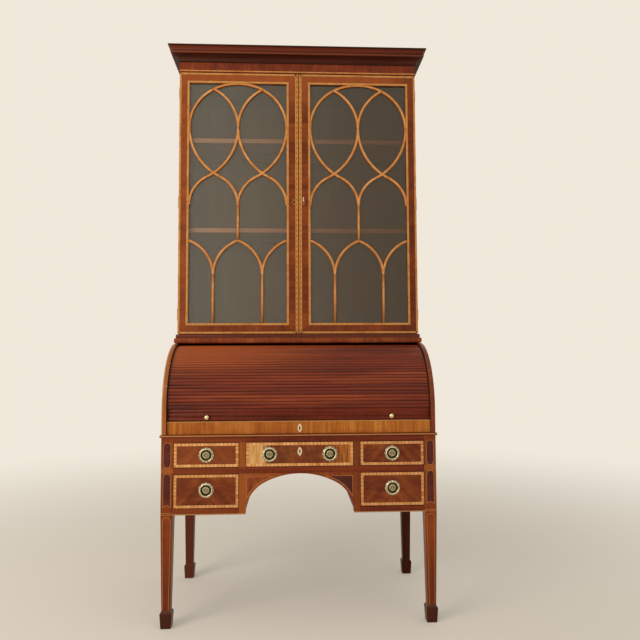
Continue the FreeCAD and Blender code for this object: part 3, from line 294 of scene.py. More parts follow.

# Where age and wear have changed a wood, and where light and shade are painted into it: colour, share, limits
stainsAndPaintedLight = {
    # painted shade lies dark between the slats and at their ends; the upper left ones are painted lighter as
    # light from the upper left
    "slats": [("#BC5E27", 0.70, ("Z", 0.90, 1.02), ("X", 0.35, -0.45)),
              ("#1E0803", 0.80,
               [(apart(("FRACT", "slat"), 0.5), 0.34, 0.49), (apart("X", 0), 0.4990, 0.5004)])],
    # a warmer streak at the right end of the middle drawer, pale sapwood at the left
    "sapwood": [(("fibres", [(0.35, "#8A4418"), (0.60, "#CC7E34")]), 0.80, ("sap", 0.110, 0.175)),
                (("fibres", [(0.30, "#CC9250"), (0.62, "#F3C27C")]), 0.94, ("sap", -0.112, -0.150))],
    # the front edges of the shelves catch the light that comes through the panes
    "shelves": [("#CC9072", 0.85, ("facing Y", -0.5, -0.8))],
    # the outer face of the back was never stained, only darkened by age
    "back": [("#8E6238", 0.55, ("facing Y", 0.5, 0.8))],
    # the left rear leg is painted a little lighter: painted light from the left
    "rearLegs": [("#96523A", 0.28, ("X", 0.1, -0.3))],
    # the upper left drawer is painted the lightest: painted light from the upper left
    "drawers": [("#A65628", 0.36, ("Z", 0.560, 0.580), ("X", 0.10, -0.10))],
    # the rails are painted lighter towards the left: painted light from the left
    "rails": [("#A8561F", 0.30, ("X", 0.0, -0.45))],
    # the wood left of the kneehole is painted a lighter orange: painted light from the left
    "dividers": [("#B8662A", 0.42, ("X", 0.05, -0.20))],
    # the curved edge is banded with paler wood, painted lighter on the left as painted light; a pale line on
    # its outer arris, on the left only, is a painted highlight; its groove is painted black as shade
    "gables": [("#B06A34", 1.0, (apart("facing X", 0), 0.6, 0.3), ("X", 0.2, -0.2, 0.12, 0.78)),
               ("#C6935A", 0.85, (apart("facing X", 0), 0.6, 0.3), ("X", 0.2, -0.2),
                [(apart("Z", 0.892), 0.0022, 0.0012), (apart("X", 0), 0.5160, 0.5166)]),
               ("#1C0D08", 0.85, (apart("X", 0), 0.5040, 0.5022))],
    # the sides of a glazing bar, turned from the front, are painted darker as shade; only the nose keeps the
    # pale satinwood
    "bars": [("#92501F", 1.0, ("facing Y", -0.94, -0.50))],
    # the doors are painted orange along the top and the left as painted light, and the right-hand stile
    # darkest as painted shade
    "doors": [("#BC632A", 0.46, [("Z", 2.00, 2.20), ("X", -0.36, -0.46, 0.0, 0.5)]),
              ("#571C0A", 0.45, ("X", 0.36, 0.46))],
    # the bands of the right-hand drawers and of the lower ones are painted browner as shade, away from the
    # light at the upper left
    "bands": [("#AE6A32", 0.26, [("X", 0.05, 0.35), ("Z", 0.580, 0.560)])],
    # orange where the post is crossbanded, darker towards the foot, the foot nearly black with a greyer band
    # at its shoulder
    "legs": [("#B06628", 0.60, (apart("Z", 0.577), 0.016, 0.006)), ("#5E2410", 0.45, ("Z", 0.36, 0.12)),
             ("#33140A", 0.78, ("Z", 0.066, 0.060)),
             ("#6A5242", 0.468, ("Z", 0.066, 0.060), ("Z", 0.056, 0.062))],
    # painted highlight on the bead of the cornice and painted light on its sloping face; painted shade in the
    # quirks and under the top fillet
    "cornice": [("#9C5236", 0.45, (apart("rise", 0.53), 0.13, 0.04)), ("#8A3C22", 0.50, ("rise", 0.66, 0.72)),
                ("#1A0A06", 1.0, ("rise", [
                    (0.00, 0.55), (0.10, 0.15), (0.24, 0.0), (0.37, 0.10), (0.41, 0.65), (0.44, 0.05),
                    (0.60, 0.0), (0.64, 0.45), (0.68, 0.0), (0.88, 0.05), (0.92, 0.80), (1.00, 0.85)]))],
    # the middle of the lock rail's veneer is redder than its ends
    "lockRail": [("#984A16", 0.35, (apart("X", -0.06), 0.30, 0.05))],
}

# Finishes of the woods: what each gives the eye is said above it
materials = {
    # polished mahogany, planed along the rail: long quiet streaks
    "railWood": woodMaterial("mahogany_rails_polished", "mahogany", "x", wearAndLight="rails", dark="#401104",
                             mid="#6F270B", light="#8C3C14"),
    # polished mahogany, upright grain: lighter, orange-brown
    "postWood": woodMaterial("mahogany_posts_polished", "mahogany", "z", wearAndLight="legs", dark="#561F07",
                             mid="#863A0F", light="#A35019"),
    # the plain wood of the apron and the dividers
    "plainWood": woodMaterial("mahogany_dividers_polished", "mahogany", "z", seed=11.0, wearAndLight="dividers",
                              dark="#56220A", mid="#883F15", light="#A85522"),
    # rear legs: not veneered, dark with stain, and darker still as painted shade under the case
    "rearWood": woodMaterial("mahogany_rear_legs_stained_painted_shade", "mahogany", "z", seed=12.0, wearAndLight="rearLegs",
                             dark="#260E07", mid="#441B0F", light="#5D2A1A", shine=0.08),
    # polished mahogany boards of the case sides
    "sideWood": woodMaterial("mahogany_sides_polished", "mahogany", "z", seed=3.0),
    # mahogany worked to a moulding: darker, catches light on its beads
    "mouldingWood": woodMaterial("mahogany_moulding_polished", "mahogany", "x", seed=5.0, dark="#35130A",
                                 mid="#5E2816", light="#7C3B22"),
    # the cornice is painted nearly black in its quirks as shade, and has a softer polish
    "corniceWood": woodMaterial("mahogany_cornice_polished", "mahogany", "x", seed=6.0, wearAndLight="cornice",
                                dark="#2E1009", mid="#502111", light="#6A311B", rough=(0.42, 0.55),
                                shine=0.15),
    # the waist board is crossbanded, fibres upright
    "waistWood": woodMaterial("mahogany_waist_crossbanded", "crossMahogany", "z", seed=13.0, streak=(40, 9),
                              dark="#501C0A", mid="#8A3E19", light="#B2622C"),
    # slats of the curtain, one tone each, with painted shade between them and painted light on the upper left
    # ones
    "slatWood": woodMaterial("mahogany_slats_waxed_painted_light_and_shade", "mahogany", "x", extra=slatTones, seed=1.0, wearAndLight="slats",
                             dark="#461204", mid="#782A0F", light="#A04A22", ribbon=0.1, rough=(0.34, 0.48),
                             shine=0.28),
    # curl veneer of the drawers
    "curlVeneer": woodMaterial("mahogany_curl_veneer", "mahogany", "x", extra=flame, seed=2.0, wearAndLight="drawers",
                               dark="#5A1F08", mid="#783513", light="#964D1E", ribbon=0.1, streak=(60, 20)),
    # curl veneer with sapwood ends, for the middle drawer
    "sapVeneer": woodMaterial("mahogany_curl_veneer_sapwood", "mahogany", "x", extra=middleFlame, seed=4.0,
                              wearAndLight="sapwood", dark="#56230C", mid="#7B3D1A", light="#9A5726", ribbon=0.1,
                              streak=(60, 20)),
    # upright grain on the frieze
    "friezeVeneer": woodMaterial("mahogany_frieze_veneer", "crossMahogany", "z", seed=7.0, streak=(40, 7)),
    # quadrant ends: their edge is banded, with painted light and a painted highlight on the left, and painted
    # shade in their groove
    "gableWood": woodMaterial("mahogany_quadrant_ends", "mahogany", "z", seed=8.0, wearAndLight="gables"),
    # satinwood of the tracery bars
    "barWood": woodMaterial("satinwood_bars_polished", "satinwood", "z", streak=(14, 8), ribbon=0.1,
                            wearAndLight="bars", dark="#B46A30", mid="#D8924E", light="#F0B878"),
    # dry, pale and unpolished: drawer linings and the boards behind
    "oakWood": woodMaterial("oak_linings_scraped", "oak", "y"),
    "pineWood": woodMaterial("pine_boards_stained", "pine", "z"),
    # mahogany that was never polished, inside the cases
    "insideWood": woodMaterial("mahogany_inside_dull", "mahogany", "x", seed=9.0, rough=(0.45, 0.6),
                               shine=0.15, dark="#3A1B10", mid="#5E3422", light="#7A4A32"),
    # shelves show a paler front edge
    "shelfWood": woodMaterial("mahogany_shelves_dull", "mahogany", "x", seed=10.0, wearAndLight="shelves",
                              rough=(0.45, 0.6), shine=0.15, dark="#5E3A2A", mid="#8A5C44", light="#A87A5C"),
    # back boards of the bookcase, stained inside
    "backWood": woodMaterial("pine_bookcase_back_stained", "pine", "z", seed=14.0, wearAndLight="back",
                             dark="#54402C", mid="#6A5238", light="#7C6244"),
    # pale banding round the drawers, each leaf of its own yellow
    "satinBand": bandMaterial("satinwood_crossbanding", "satinwood", spread=0.14, joint=0.60, wearAndLight="bands",
                              dark="#BA7234", mid="#F0AE6A", light="#FFD29A"),
    # narrow bands of the doors and the frieze: quieter than those of the drawers
    "doorBand": bandMaterial("satinwood_narrow_banding", "satinwood", leaf=11.0, spread=0.09, joint=0.35,
                             dark="#A8662E", mid="#D2904C", light="#E4AE6C"),
    # laid lengthwise along the meeting stiles
    "meetingBand": bandMaterial("satinwood_meeting_band", "satinwood", leaf=260.0, spread=0.05, joint=0.0,
                                dark="#B87438", mid="#D0904A", light="#E0A664", streak=(12, 60)),
    # long leaves of mahogany on the door frames, red-brown between the pale bands
    "mahoganyBand": bandMaterial("mahogany_crossbanding", "crossMahogany", leaf=90.0, spread=0.16, joint=0.15,
                                 wearAndLight="doors", dark="#4C1A06", mid="#7E3812", light="#9C4E1D"),
    # dark, even panels of posts, spandrel and lozenges
    "panelInlay": bandMaterial("rosewood_panel_inlay", "crossMahogany", leaf=400.0, joint=0.0, dark="#3E1610",
                               mid="#5C2419", light="#753425"),
}

# Lock rail: face is the height over its foot in mm at which the reeds end and the veneer begins
lockRail = {"face": 44.5, "reeds": {"dark": "#3C0F04", "mid": "#66210C", "light": "#883616"},
            "veneer": {"dark": "#84400F", "mid": "#BA6C26", "light": "#E4A04B", "streak": (150, 11),
                       "ribbon": 0.20}}


def lockRailLook(tree):
    # reeded mahogany above, figured satinwood veneer on the flat face below
    place = addNode(tree, "TexCoord", give="Object")
    upright = addNode(tree, "Mapping", place, Rotation=turns["z"])
    reeds = woodColour(tree, dict(woods["mahogany"], **lockRail["reeds"]), place, 1.0)[0]
    face, figure, pores = woodColour(tree, dict(woods["satinwood"], **lockRail["veneer"]), upright, 6.0)
    face = stained(tree, face, stainsAndPaintedLight["lockRail"])
    top = (boxInMm("tambour_rail")[4] + lockRail["face"]) * mm
    veneered = (face, 1.0, ("Z", top + 0.0003, top - 0.0003), ("facing Y", -0.5, -0.8))
    return {"Base Color": stained(tree, reeds, [veneered]), "Roughness": 0.42, "Specular IOR Level": 0.18,
            "Normal": addNode(tree, "Bump", Strength=0.12, Distance=0.0006, Height=pores)}


def lineMaterial(name, code, other=None, length=3.0, worn=0.5):
    # boxwood line, plain and worn in patches, or chequered with a second wood
    def look(tree):
        if other:
            stripe = ("PINGPONG", "band X", length * mm)
            layer = (other, 1.0, (stripe, length * 0.28 * mm, length * 0.48 * mm))
        else:
            patches = addNode(tree, "TexNoise", addNode(tree, "UVMap", uv_map="band"), Scale=90.0, Detail=3.0)
            layer = ("#9A6430", ("MULTIPLY", patches, worn))
        return {"Base Color": stained(tree, code, [layer]), "Roughness": 0.34, "Specular IOR Level": 0.20}

    return newMaterial(name, look)


def brassMaterial(name, bright, dull, dark, rough):
    # a worn polish: bright, dull and dark brass in random patches
    def look(tree):
        place = addNode(tree, "TexCoord", give="Object")
        patches = addNode(tree, "TexNoise", place, Scale=160.0, Detail=4.0, Roughness=0.6)
        stops = [(0.30, dark), (0.48, dull), (0.66, bright)]
        return {"Base Color": addNode(tree, "ValToRGB", patches, stops=stops), "Metallic": 1.0,
                "Roughness": addNode(tree, "MapRange", patches, 0.3, 0.7, rough + 0.14, rough),
                "Normal": addNode(tree, "Bump", Strength=0.10, Distance=0.0004, Height=patches)}

    return newMaterial(name, look)


def roseLook(tree):
    # band Y runs from the boss to the edge of the plate: bright beads, and a dish painted dark as shade under
    # the ring
    worn = addNode(tree, "TexNoise", addNode(tree, "TexCoord", give="Object"), Scale=240.0, Detail=3.0)
    reach = ("ADD", "band Y", ("MULTIPLY", ("SUBTRACT", worn, 0.5), 0.10))
    base = addNode(tree, "ValToRGB", reach, stops=[
        (0.00, "#F4EACC"), (0.10, "#A89C7A"), (0.24, "#9A8E6C"), (0.38, "#C0B48C"), (0.46, "#4E4630"),
        (0.56, "#2E2918"), (0.72, "#3C3522"), (0.82, "#B0A47C"), (0.91, "#F0E8C8"), (1.00, "#7E7248")])
    # twelve petals swirl round the boss
    swirl = ("ADD", "band X", ("MULTIPLY", "band Y", 0.35))
    petals = settled(tree, ("SINE", ("MULTIPLY", swirl, 2 * math.pi * 12)))
    base = stained(tree, base, [("#463E26", 0.7, (petals, 0.1, -0.7), ("band Y", 0.46, 0.38))])
    return {"Base Color": base, "Metallic": 1.0, "Roughness": 0.38,
            "Normal": addNode(tree, "Bump", Strength=0.7, Distance=0.0006, Height=("ADD", petals, worn))}


def boneLook(tree):
    # cream with fine lines, slightly translucent
    place = addNode(tree, "TexCoord", give="Object")
    lines = addNode(tree, "TexNoise", addNode(tree, "Mapping", place, Scale=(900.0, 900.0, 90.0)), Scale=1.0,
                    Detail=3.0)
    cream = addNode(tree, "ValToRGB", lines, stops=[(0.3, "#D9BE92"), (0.55, "#F2DDB8"), (0.8, "#F8EACD")])
    return {"Base Color": cream, "Roughness": 0.32, "Subsurface Weight": 0.1,
            "Subsurface Radius": (0.004, 0.003, 0.002)}


def glassLook(tree):
    # old drawn glass: slow ripples bend what it mirrors; its tint is painted paler on the left as painted
    # light and browner on the right as painted shade
    ripples = addNode(tree, "TexNoise", addNode(tree, "TexCoord", give="Object"), Scale=9.0, Detail=2.0)
    return {"Base Color": stained(tree, "#F2F0E0", [("#B69C72", 1.0, ("X", -0.45, 0.45))]),
            "Normal": addNode(tree, "Bump", Strength=0.05, Distance=0.002, Height=ripples),
            "Roughness": 0.0, "IOR": 1.52, "Transmission Weight": 0.95}


def leatherLook(tree):
    # green skiver, glazed, with a fine pebble
    place = addNode(tree, "TexCoord", give="Object")
    cells = addNode(tree, "TexVoronoi", place, Scale=900.0)
    worn = addNode(tree, "TexNoise", place, Scale=14.0, Detail=4.0)
    green = addNode(tree, "ValToRGB", worn, stops=[(0.3, "#16281A"), (0.55, "#24402A"), (0.75, "#3D5738")])
    return {"Base Color": green, "Roughness": 0.42,
            "Normal": addNode(tree, "Bump", Strength=0.25, Distance=0.0004, Height=cells)}


def canvasLook(tree):
    # plain-woven linen glued behind the slats
    warp, weft = (("SINE", ("MULTIPLY", way, 5200.0)) for way in ("X", "Z"))
    soil = addNode(tree, "TexNoise", addNode(tree, "TexCoord", give="Object"), Scale=18.0, Detail=3.0)
    linen = addNode(tree, "ValToRGB", soil, stops=[(0.3, "#7E6A48"), (0.6, "#A8946E")])
    return {"Base Color": linen, "Roughness": 0.85,
            "Normal": addNode(tree, "Bump", Strength=0.3, Distance=0.0003, Height=("MULTIPLY", warp, weft))}


materials.update({
    "lockRailWood": newMaterial("lock_rail_veneered", lockRailLook),
    # pale lines, a black one and a chequered one
    "boxLine": lineMaterial("boxwood_stringing", "#C2935C"),
    "fineLine": lineMaterial("boxwood_fine_stringing", "#C2854A"),
    # the black line also stands for painted shade: round the drawers, between the doors and in the keyholes
    "ebonyAndShadeLine": lineMaterial("ebonised_stringing_and_painted_shade", "#200D07", worn=0.06),
    "dashLine": lineMaterial("dashed_stringing", "#D0904A", "#A05A20", 11.2),
    # brass: bright on knobs, paler on rings, brown on hinges
    "brass": brassMaterial("brass_polished_worn", "#FFF0C8", "#ECDAA6", "#BCA874", 0.30),
    "ringBrass": brassMaterial("brass_ring_polished", "#FFF8E0", "#DDD0A8", "#948860", 0.30),
    "hingeBrass": brassMaterial("brass_hinge_tarnished", "#9C7A48", "#6E5430", "#40301A", 0.36),
    "rose": newMaterial("brass_rose_stamped", roseLook),
    "ivory": newMaterial("bone_polished", boneLook),
    "glass": newMaterial("glass_drawn", glassLook),
    "leather": newMaterial("leather_skiver_glazed", leatherLook),
    "canvas": newMaterial("linen_canvas_woven", canvasLook),
})
print("materials made:", len(materials))

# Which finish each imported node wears
drawers = ("top_left", "top_centre", "top_right", "lower_left", "lower_right")
finishes = {
    "front_legs": "postWood", "rear_legs": "rearWood", "desk_sides": "sideWood", "case_backs": "pineWood",
    "front_rails": "railWood", "kneehole_apron": "plainWood", "drawer_dividers": "plainWood",
    "inner_boards": "insideWood", "writing_bed": "railWood", "leather_skiver": "leather",
    "gables": "gableWood", "tambour_slats": "slatWood", "tambour_canvas": "canvas",
    "tambour_rail": "lockRailWood", "rail_escutcheon": "ivory", "pigeonhole_nest": "insideWood",
    "waist_board": "waistWood", "base_moulding": "mouldingWood", "bookcase_sides": "sideWood",
    "bookcase_boards": "insideWood", "bookcase_back": "backWood", "bookcase_shelves": "shelfWood",
    "frieze": "friezeVeneer", "cornice": "corniceWood", "case_hinge_leaves": "hingeBrass",
    "right_door_lock": "brass", "door_key": "ringBrass", "drawer_escutcheon": "ivory",
    "tambour_knobs": "brass",
}
doorFinishes = {"frame": "plainWood", "hinge_leaves": "hingeBrass", "tracery": "barWood", "glass": "glass",
                "escutcheon": "ivory"}
for part, finish in doorFinishes.items():
    finishes["left_door_" + part] = finishes["right_door_" + part] = finish
for drawer in drawers:
    finishes["drawer_" + drawer + "_front"] = "sapVeneer" if drawer == "top_centre" else "curlVeneer"
    finishes["drawer_" + drawer + "_box"] = "oakWood"
    finishes["drawer_" + drawer + "_roses"] = "rose"
for name, node in nodes.items():
    node.data.materials.clear()
    isRing = name.endswith(("_ring", "_ring_left", "_ring_right"))
    node.data.materials.append(materials["ringBrass" if isRing else finishes[name]])
print("finishes given")

# Arrises in mm: planed edges are never sharp, so they take a thin highlight
softEdges = {
    "front_legs": 0.9, "rear_legs": 0.9, "front_rails": 0.5, "drawer_dividers": 0.5, "kneehole_apron": 0.6,
    "writing_bed": 1.0, "gables": 0.8, "waist_board": 0.8, "base_moulding": 0.6, "cornice": 0.5,
    "frieze": 0.5, "bookcase_sides": 0.6, "left_door_frame": 0.5, "right_door_frame": 0.5,
    "tambour_rail": 0.5, "bookcase_shelves": 0.8, "pigeonhole_nest": 0.6,
}
softEdges.update({"drawer_" + drawer + "_front": 0.7 for drawer in drawers})
for name, width in softEdges.items():
    weld = nodes[name].modifiers.new("weld", "WELD")
    weld.merge_threshold = 0.00002
    bevel = nodes[name].modifiers.new("arris", "BEVEL")
    bevel.width = width * mm
    bevel.segments = 2
    bevel.limit_method = "ANGLE"
    bevel.angle_limit = math.radians(35)
    bevel.use_clamp_overlap = True
    bevel.harden_normals = True
print("arrises softened:", len(softEdges))


# Mesh making
def meshPiece(name, body, points, faces, material, uvs=None, smooth=False):
    mesh = bpy.data.meshes.new(name)
    mesh.from_pydata(points, [], faces)
    mesh.materials.append(materials[material])
    if uvs:
        layer = mesh.uv_layers.new(name="band")
        for i, uv in enumerate(uvs):
            layer.data[i].uv = uv
    mesh.polygons.foreach_set("use_smooth", [smooth] * len(mesh.polygons))
    mesh.update()
    piece = bpy.data.objects.new(name, mesh)
    scene.collection.objects.link(piece)
    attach(piece, body)
    return piece


def skin(rings, caps=True):
    # quads between each ring of points and the next, and a face that closes each end
    around = len(rings[0])
    points = [point for ring in rings for point in ring]
    faces = []
    for start in range(0, len(points) - around, around):
        for j in range(around):
            a, b = start + j, start + (j + 1) % around
            faces.append((a, a + around, b + around, b))
    if caps:
        faces += [tuple(range(around)), tuple(range(len(points) - around, len(points)))[::-1]]
    return points, faces


class Inlay:
    # strips and panels let into flat faces, gathered into one mesh for each material
    def __init__(self, place):
        self.place = place
        self.points, self.faces, self.uvs = [], [], []

    def corner(self, a, b, out):
        self.points.append(self.place(a, b, out))
        return len(self.points) - 1

    def strip(self, path, width, closed=False, lift=0.12, along=0.0, depth=0.4):
        # a ribbon with mitred corners; its face stands a hair proud and its edges go into the wood
        path = [Vector(point) for point in path]
        count = len(path)
        lefts, rights, lengths = [], [], [along]
        for i, here in enumerate(path):
            inward = (here - path[i - 1]).normalized() if closed or i > 0 else None
            outward = (path[(i + 1) % count] - here).normalized() if closed or i < count - 1 else None
            a, b = inward or outward, outward or inward
            mean = (a + b).normalized()
            normal = Vector((-mean.y, mean.x))
            stretch = 1.0 / max(0.35, normal.dot(Vector((-a.y, a.x))))
            lefts.append(here + normal * (width / 2 * stretch))
            rights.append(here - normal * (width / 2 * stretch))
            if i:
                lengths.append(lengths[-1] + (here - path[i - 1]).length)
        for i in range(count if closed else count - 1):
            j = (i + 1) % count
            way = (path[j] - path[i]).normalized()
            quad = [rights[i], rights[j], lefts[j], lefts[i]]
            top = [self.corner(p.x, p.y, lift) for p in quad]
            low = [self.corner(p.x, p.y, -depth) for p in quad]
            flat = [((lengths[i] + (p - path[i]).dot(way)) * mm, v * mm)
                    for p, v in zip(quad, (0, 0, width, width))]
            self.faces.append(top)
            self.uvs += flat
            for a, b in ((0, 1), (2, 3)):
                self.faces.append([top[b], top[a], low[a], low[b]])
                self.uvs += [flat[b], flat[a], flat[a], flat[b]]

    def panel(self, outline, lift=0.08):
        self.faces.append([self.corner(a, b, lift) for a, b in outline])
        self.uvs += [(b * mm, a * mm) for a, b in outline]

    def done(self, name, body, material, slotName):
        return meshPiece(name, body, self.points, self.faces, material, self.uvs, False)


def frontPlace(y):
    # a plane that faces the viewer: a is x, b is z, in mm
    return lambda a, b, out: (a * mm, y - out * mm, b * mm)


def rectangle(x0, x1, z0, z1, inset):
    return [(x0 + inset, z0 + inset), (x1 - inset, z0 + inset),
            (x1 - inset, z1 - inset), (x0 + inset, z1 - inset)]


def mirrorPath(path):
    return [(-a, b) for a, b in reversed(path)]


def arcPath(cx, cz, radius, start, end, steps):
    turned = [math.radians(start + (end - start) * i / steps) for i in range(steps + 1)]
    return [(cx + radius * math.cos(angle), cz + radius * math.sin(angle)) for angle in turned]


# Drawer fronts: satinwood crossbanding between dark lines: the outer one painted shade in the gap round the
# drawer, the inner one ebonised stringing
drawerInlay = {"bandWidth": 10.2, "edge": 1.9, "line": 0.7}
edge, width, line = drawerInlay["edge"], drawerInlay["bandWidth"], drawerInlay["line"]
for drawer in drawers:
    body = "drawer_" + drawer
    x0, x1, y0, y1, z0, z1 = boxInMm(body + "_front")
    band, lines = Inlay(frontPlace(y0 * mm)), Inlay(frontPlace(y0 * mm))
    band.strip(rectangle(x0, x1, z0, z1, edge + width / 2), width, True, 0.14)
    band.done(body + "_banding", body, "satinBand", "satinwood")
    # the outer dark line is painted shade in the gap round the drawer
    lines.strip(rectangle(x0, x1, z0, z1, 0.2 + edge / 2), edge, True, 0.12)
    if drawer != "top_centre":
        lines.strip(rectangle(x0, x1, z0, z1, edge + width + line / 2), line, True, 0.16)
    lines.done(body + "_lines", body, "ebonyAndShadeLine", "mahogany")
print("drawer fronts inlaid")

# Doors: an outer band, crossbanding, an inner band; the meeting edges carry a dashed line
doorInlay = {"outer": 8.2, "inner": 9.2, "meeting": 13.2, "dashes": 3.8, "line": 0.9, "arris": 1.2,
             "lozenge": (7.5, 11.5), "lozengeLine": 2.0}
outer, inner, meeting = doorInlay["outer"], doorInlay["inner"], doorInlay["meeting"]
for side, towards in (("left", -1), ("right", 1)):
    body = side + "_door"
    x0, x1, y0, y1, z0, z1 = boxInMm(body + "_frame")
    gx0, gx1, gy0, gy1, gz0, gz1 = boxInMm(body + "_tracery")
    place = frontPlace(y0 * mm)
    # the joint is at the middle of the desk; towards is the way from it to the hinges
    meetX, outX, glassMeet, glassOut = (x1, x0, gx1, gx0) if side == "left" else (x0, x1, gx0, gx1)
    # outer band: three narrow sides and a wider one at the meeting edge
    satin = Inlay(place)
    middleX, farX, half = meetX + towards * meeting / 2, outX - towards * outer / 2, outer / 2
    upright = [(farX, z0 + half), (farX, z1 - half)]
    satin.strip([(middleX, z0 + half), (farX, z0 + half)], outer)
    satin.strip(upright[::towards], outer)
    satin.strip([(middleX, z1 - half), (farX, z1 - half)], outer)
    satin.strip(rectangle(gx0, gx1, gz0, gz1, -inner / 2), inner, True)
    satin.done(body + "_satinwood_bands", body, "doorBand", "satinwood")
    edging = Inlay(place)
    edging.strip([(middleX, z0), (middleX, z1)], meeting)
    edging.done(body + "_meeting_band", body, "meetingBand", "satinwood")
    # crossbanding between the bands: two stiles, and two rails between them
    cross = Inlay(place)
    stileOut = abs(outX - glassOut) - outer - inner
    stileIn = abs(meetX - glassMeet) - meeting - inner
    railHeight = gz0 - z0 - outer - inner
    xa, xb = outX - towards * (outer + stileOut / 2), meetX + towards * (meeting + stileIn / 2)
    bottom, top = z0 + outer, z1 - outer
    cross.strip([(xa, bottom), (xa, top)], stileOut, False, 0.06)
    cross.strip([(xb, bottom), (xb, top)], stileIn, False, 0.06, 900.0)
    for level, start in ((bottom + railHeight / 2, 2000.0), (top - railHeight / 2, 3000.0)):
        cross.strip([(min(xa, xb) + stileOut / 2, level), (max(xa, xb) - stileOut / 2, level)], railHeight,
                    False, 0.08, start)
    cross.done(body + "_crossbanding", body, "mahoganyBand", "mahogany")
    lines = Inlay(place)
    lines.strip(rectangle(gx0, gx1, gz0, gz1, -inner - 0.4), doorInlay["line"], True, 0.16)
    insets = (outer, meeting) if side == "left" else (meeting, outer)
    lines.strip(rectangle(x0 + insets[0], x1 - insets[1], bottom, top, 0.4), doorInlay["line"], True, 0.16)
    lines.done(body + "_dark_lines", body, "ebonyAndShadeLine", "mahogany")
    chequer = Inlay(place)
    dashX = meetX + towards * meeting * 0.52
    chequer.strip([(dashX, z0 + 2), (dashX, z1 - 2)], doorInlay["dashes"], False, 0.2)
    chequer.done(body + "_dashed_line", body, "dashLine", "satinwood")
    # the arris that meets the other door is painted black: painted shade in the joint between the doors
    joint = Inlay(place)
    arrisX = meetX + towards * 0.7
    joint.strip([(arrisX, z0 + 1), (arrisX, z1 - 1)], doorInlay["arris"], False, 0.18)
    joint.done(body + "_meeting_painted_shade", body, "ebonyAndShadeLine", "mahogany")
    # lozenge round the keyhole
    lx0, lx1, ly0, ly1, lz0, lz1 = boxInMm(body + "_escutcheon")
    cx, cz = (lx0 + lx1) / 2, (lz0 + lz1) / 2
    wide, high = doorInlay["lozenge"]
    diamond = [(cx, cz - high), (cx + wide, cz), (cx, cz + high), (cx - wide, cz)]
    ground, rim = Inlay(place), Inlay(place)
    ground.panel(diamond, 0.16)
    ground.done(body + "_lozenge", body, "panelInlay", "mahogany")
    rim.strip(diamond, doorInlay["lozengeLine"], True, 0.2)
    rim.done(body + "_lozenge_line", body, "doorBand", "satinwood")
print("doors inlaid")

# Glazing bars: one astragal section bent along every arc of the tracery.
# Levels and haunch are shares of the height of the glass, sizes are in millimetres.
bars = {"width": 12.5, "nose": 11.4, "sink": 3.4, "rounds": 9, "bends": 26, "stagger": 0.02, "waist": 0.8135,
        "ovalFoot": 0.6215, "ogeeFoot": 0.4865, "point": 0.34, "spring": 0.197, "haunch": 0.975}


def astragal(depth):
    # the section as (across, behind the front): a side, the rounded nose, the other side
    nose, sink, rounds = bars["nose"] / 2, bars["sink"], bars["rounds"]
    turned = [math.pi * step / rounds for step in range(rounds + 1)]
    rounded = [(-nose * math.cos(angle), sink * (1 - math.sin(angle))) for angle in turned]
    return [(-bars["width"] / 2, depth)] + rounded + [(bars["width"] / 2, depth)]


def bentBar(path, front, depth):
    # the section carried along (x, z) points
    rings = []
    for i, (x, z) in enumerate(path):
        before, after = path[max(i - 1, 0)], path[min(i + 1, len(path) - 1)]
        run = Vector((after[0] - before[0], after[1] - before[1])).normalized()
        rings.append([((x - run.y * across) * mm, (front + behind) * mm, (z + run.x * across) * mm)
                      for across, behind in astragal(depth)])
    points, faces = skin(rings)
    # only the nose is smooth
    sides = [1 <= j <= bars["rounds"] for j in range(len(rings[0]))]
    return points, faces, sides * (len(rings) - 1) + [False, False]


def archCrown(haunchX, haunch, rise):
    # radius of the flat middle arc that touches both haunches, and the angle at which it does
    crown = (haunchX ** 2 + rise ** 2 - haunch ** 2) / (2 * (rise - haunch))
    return crown, math.degrees(math.atan2(crown - rise, haunchX))


def traceryPaths(middleX, half, low, high):
    # the line of every bar of one door, from the arcs that the tracery is set out with
    waist, ovalFoot, ogeeFoot, point, spring = (
        low + (high - low) * bars[level] for level in ("waist", "ovalFoot", "ogeeFoot", "point", "spring"))
    quarter, paths = half / 2, []

    def bow(cx, cz, radius, start, end):
        paths.append(arcPath(middleX + cx, cz, radius, start, end, bars["bends"]))

    # the big arch, and the inner arches that meet it over the quarter points
    haunch = (high - waist) * bars["haunch"]
    haunchX = half - haunch
    crown, lean = archCrown(haunchX, haunch, high - waist)
    reach = math.degrees(math.acos((haunch - quarter) / haunch))
    bow(0, high - crown, crown, lean, 180 - lean)
    bow(haunchX, waist, haunch, 0, lean)
    bow(-haunchX, waist, haunch, 180 - lean, 180)
    bow(-haunch, waist, haunch, 0, reach)
    bow(haunch, waist, haunch, 180 - reach, 180)
    # ogees from the waist of the ovals down to the next tangent
    drop = waist - ogeeFoot
    both = (half ** 2 + drop ** 2) / (2 * half)
    large = ((waist - ovalFoot) ** 2 + quarter ** 2) / (2 * quarter)
    small = both - large
    turn = math.degrees(math.atan2(drop, both - half))
    for left, right in ((-half, 0), (0, half)):
        bow(left + large, waist, large, 180, 180 + turn)
        bow(right - small, ogeeFoot, small, 0, turn)
        bow(right - large, waist, large, -turn, 0)
        bow(left + small, ogeeFoot, small, 180 - turn, 180)
    paths.append([(middleX, point), (middleX, ogeeFoot)])
    # pointed arches: each upright from the foot forks to the middle bar and to the stile
    fork = ((point - spring) ** 2 + quarter ** 2) / (2 * quarter)
    sweep = math.degrees(math.acos((fork - quarter) / fork))
    for footX in (-quarter, quarter):
        paths.append([(middleX + footX, low), (middleX + footX, spring)])
        bow(footX + fork, spring, fork, 180 - sweep, 180)
        bow(footX - fork, spring, fork, 0, sweep)
    return paths


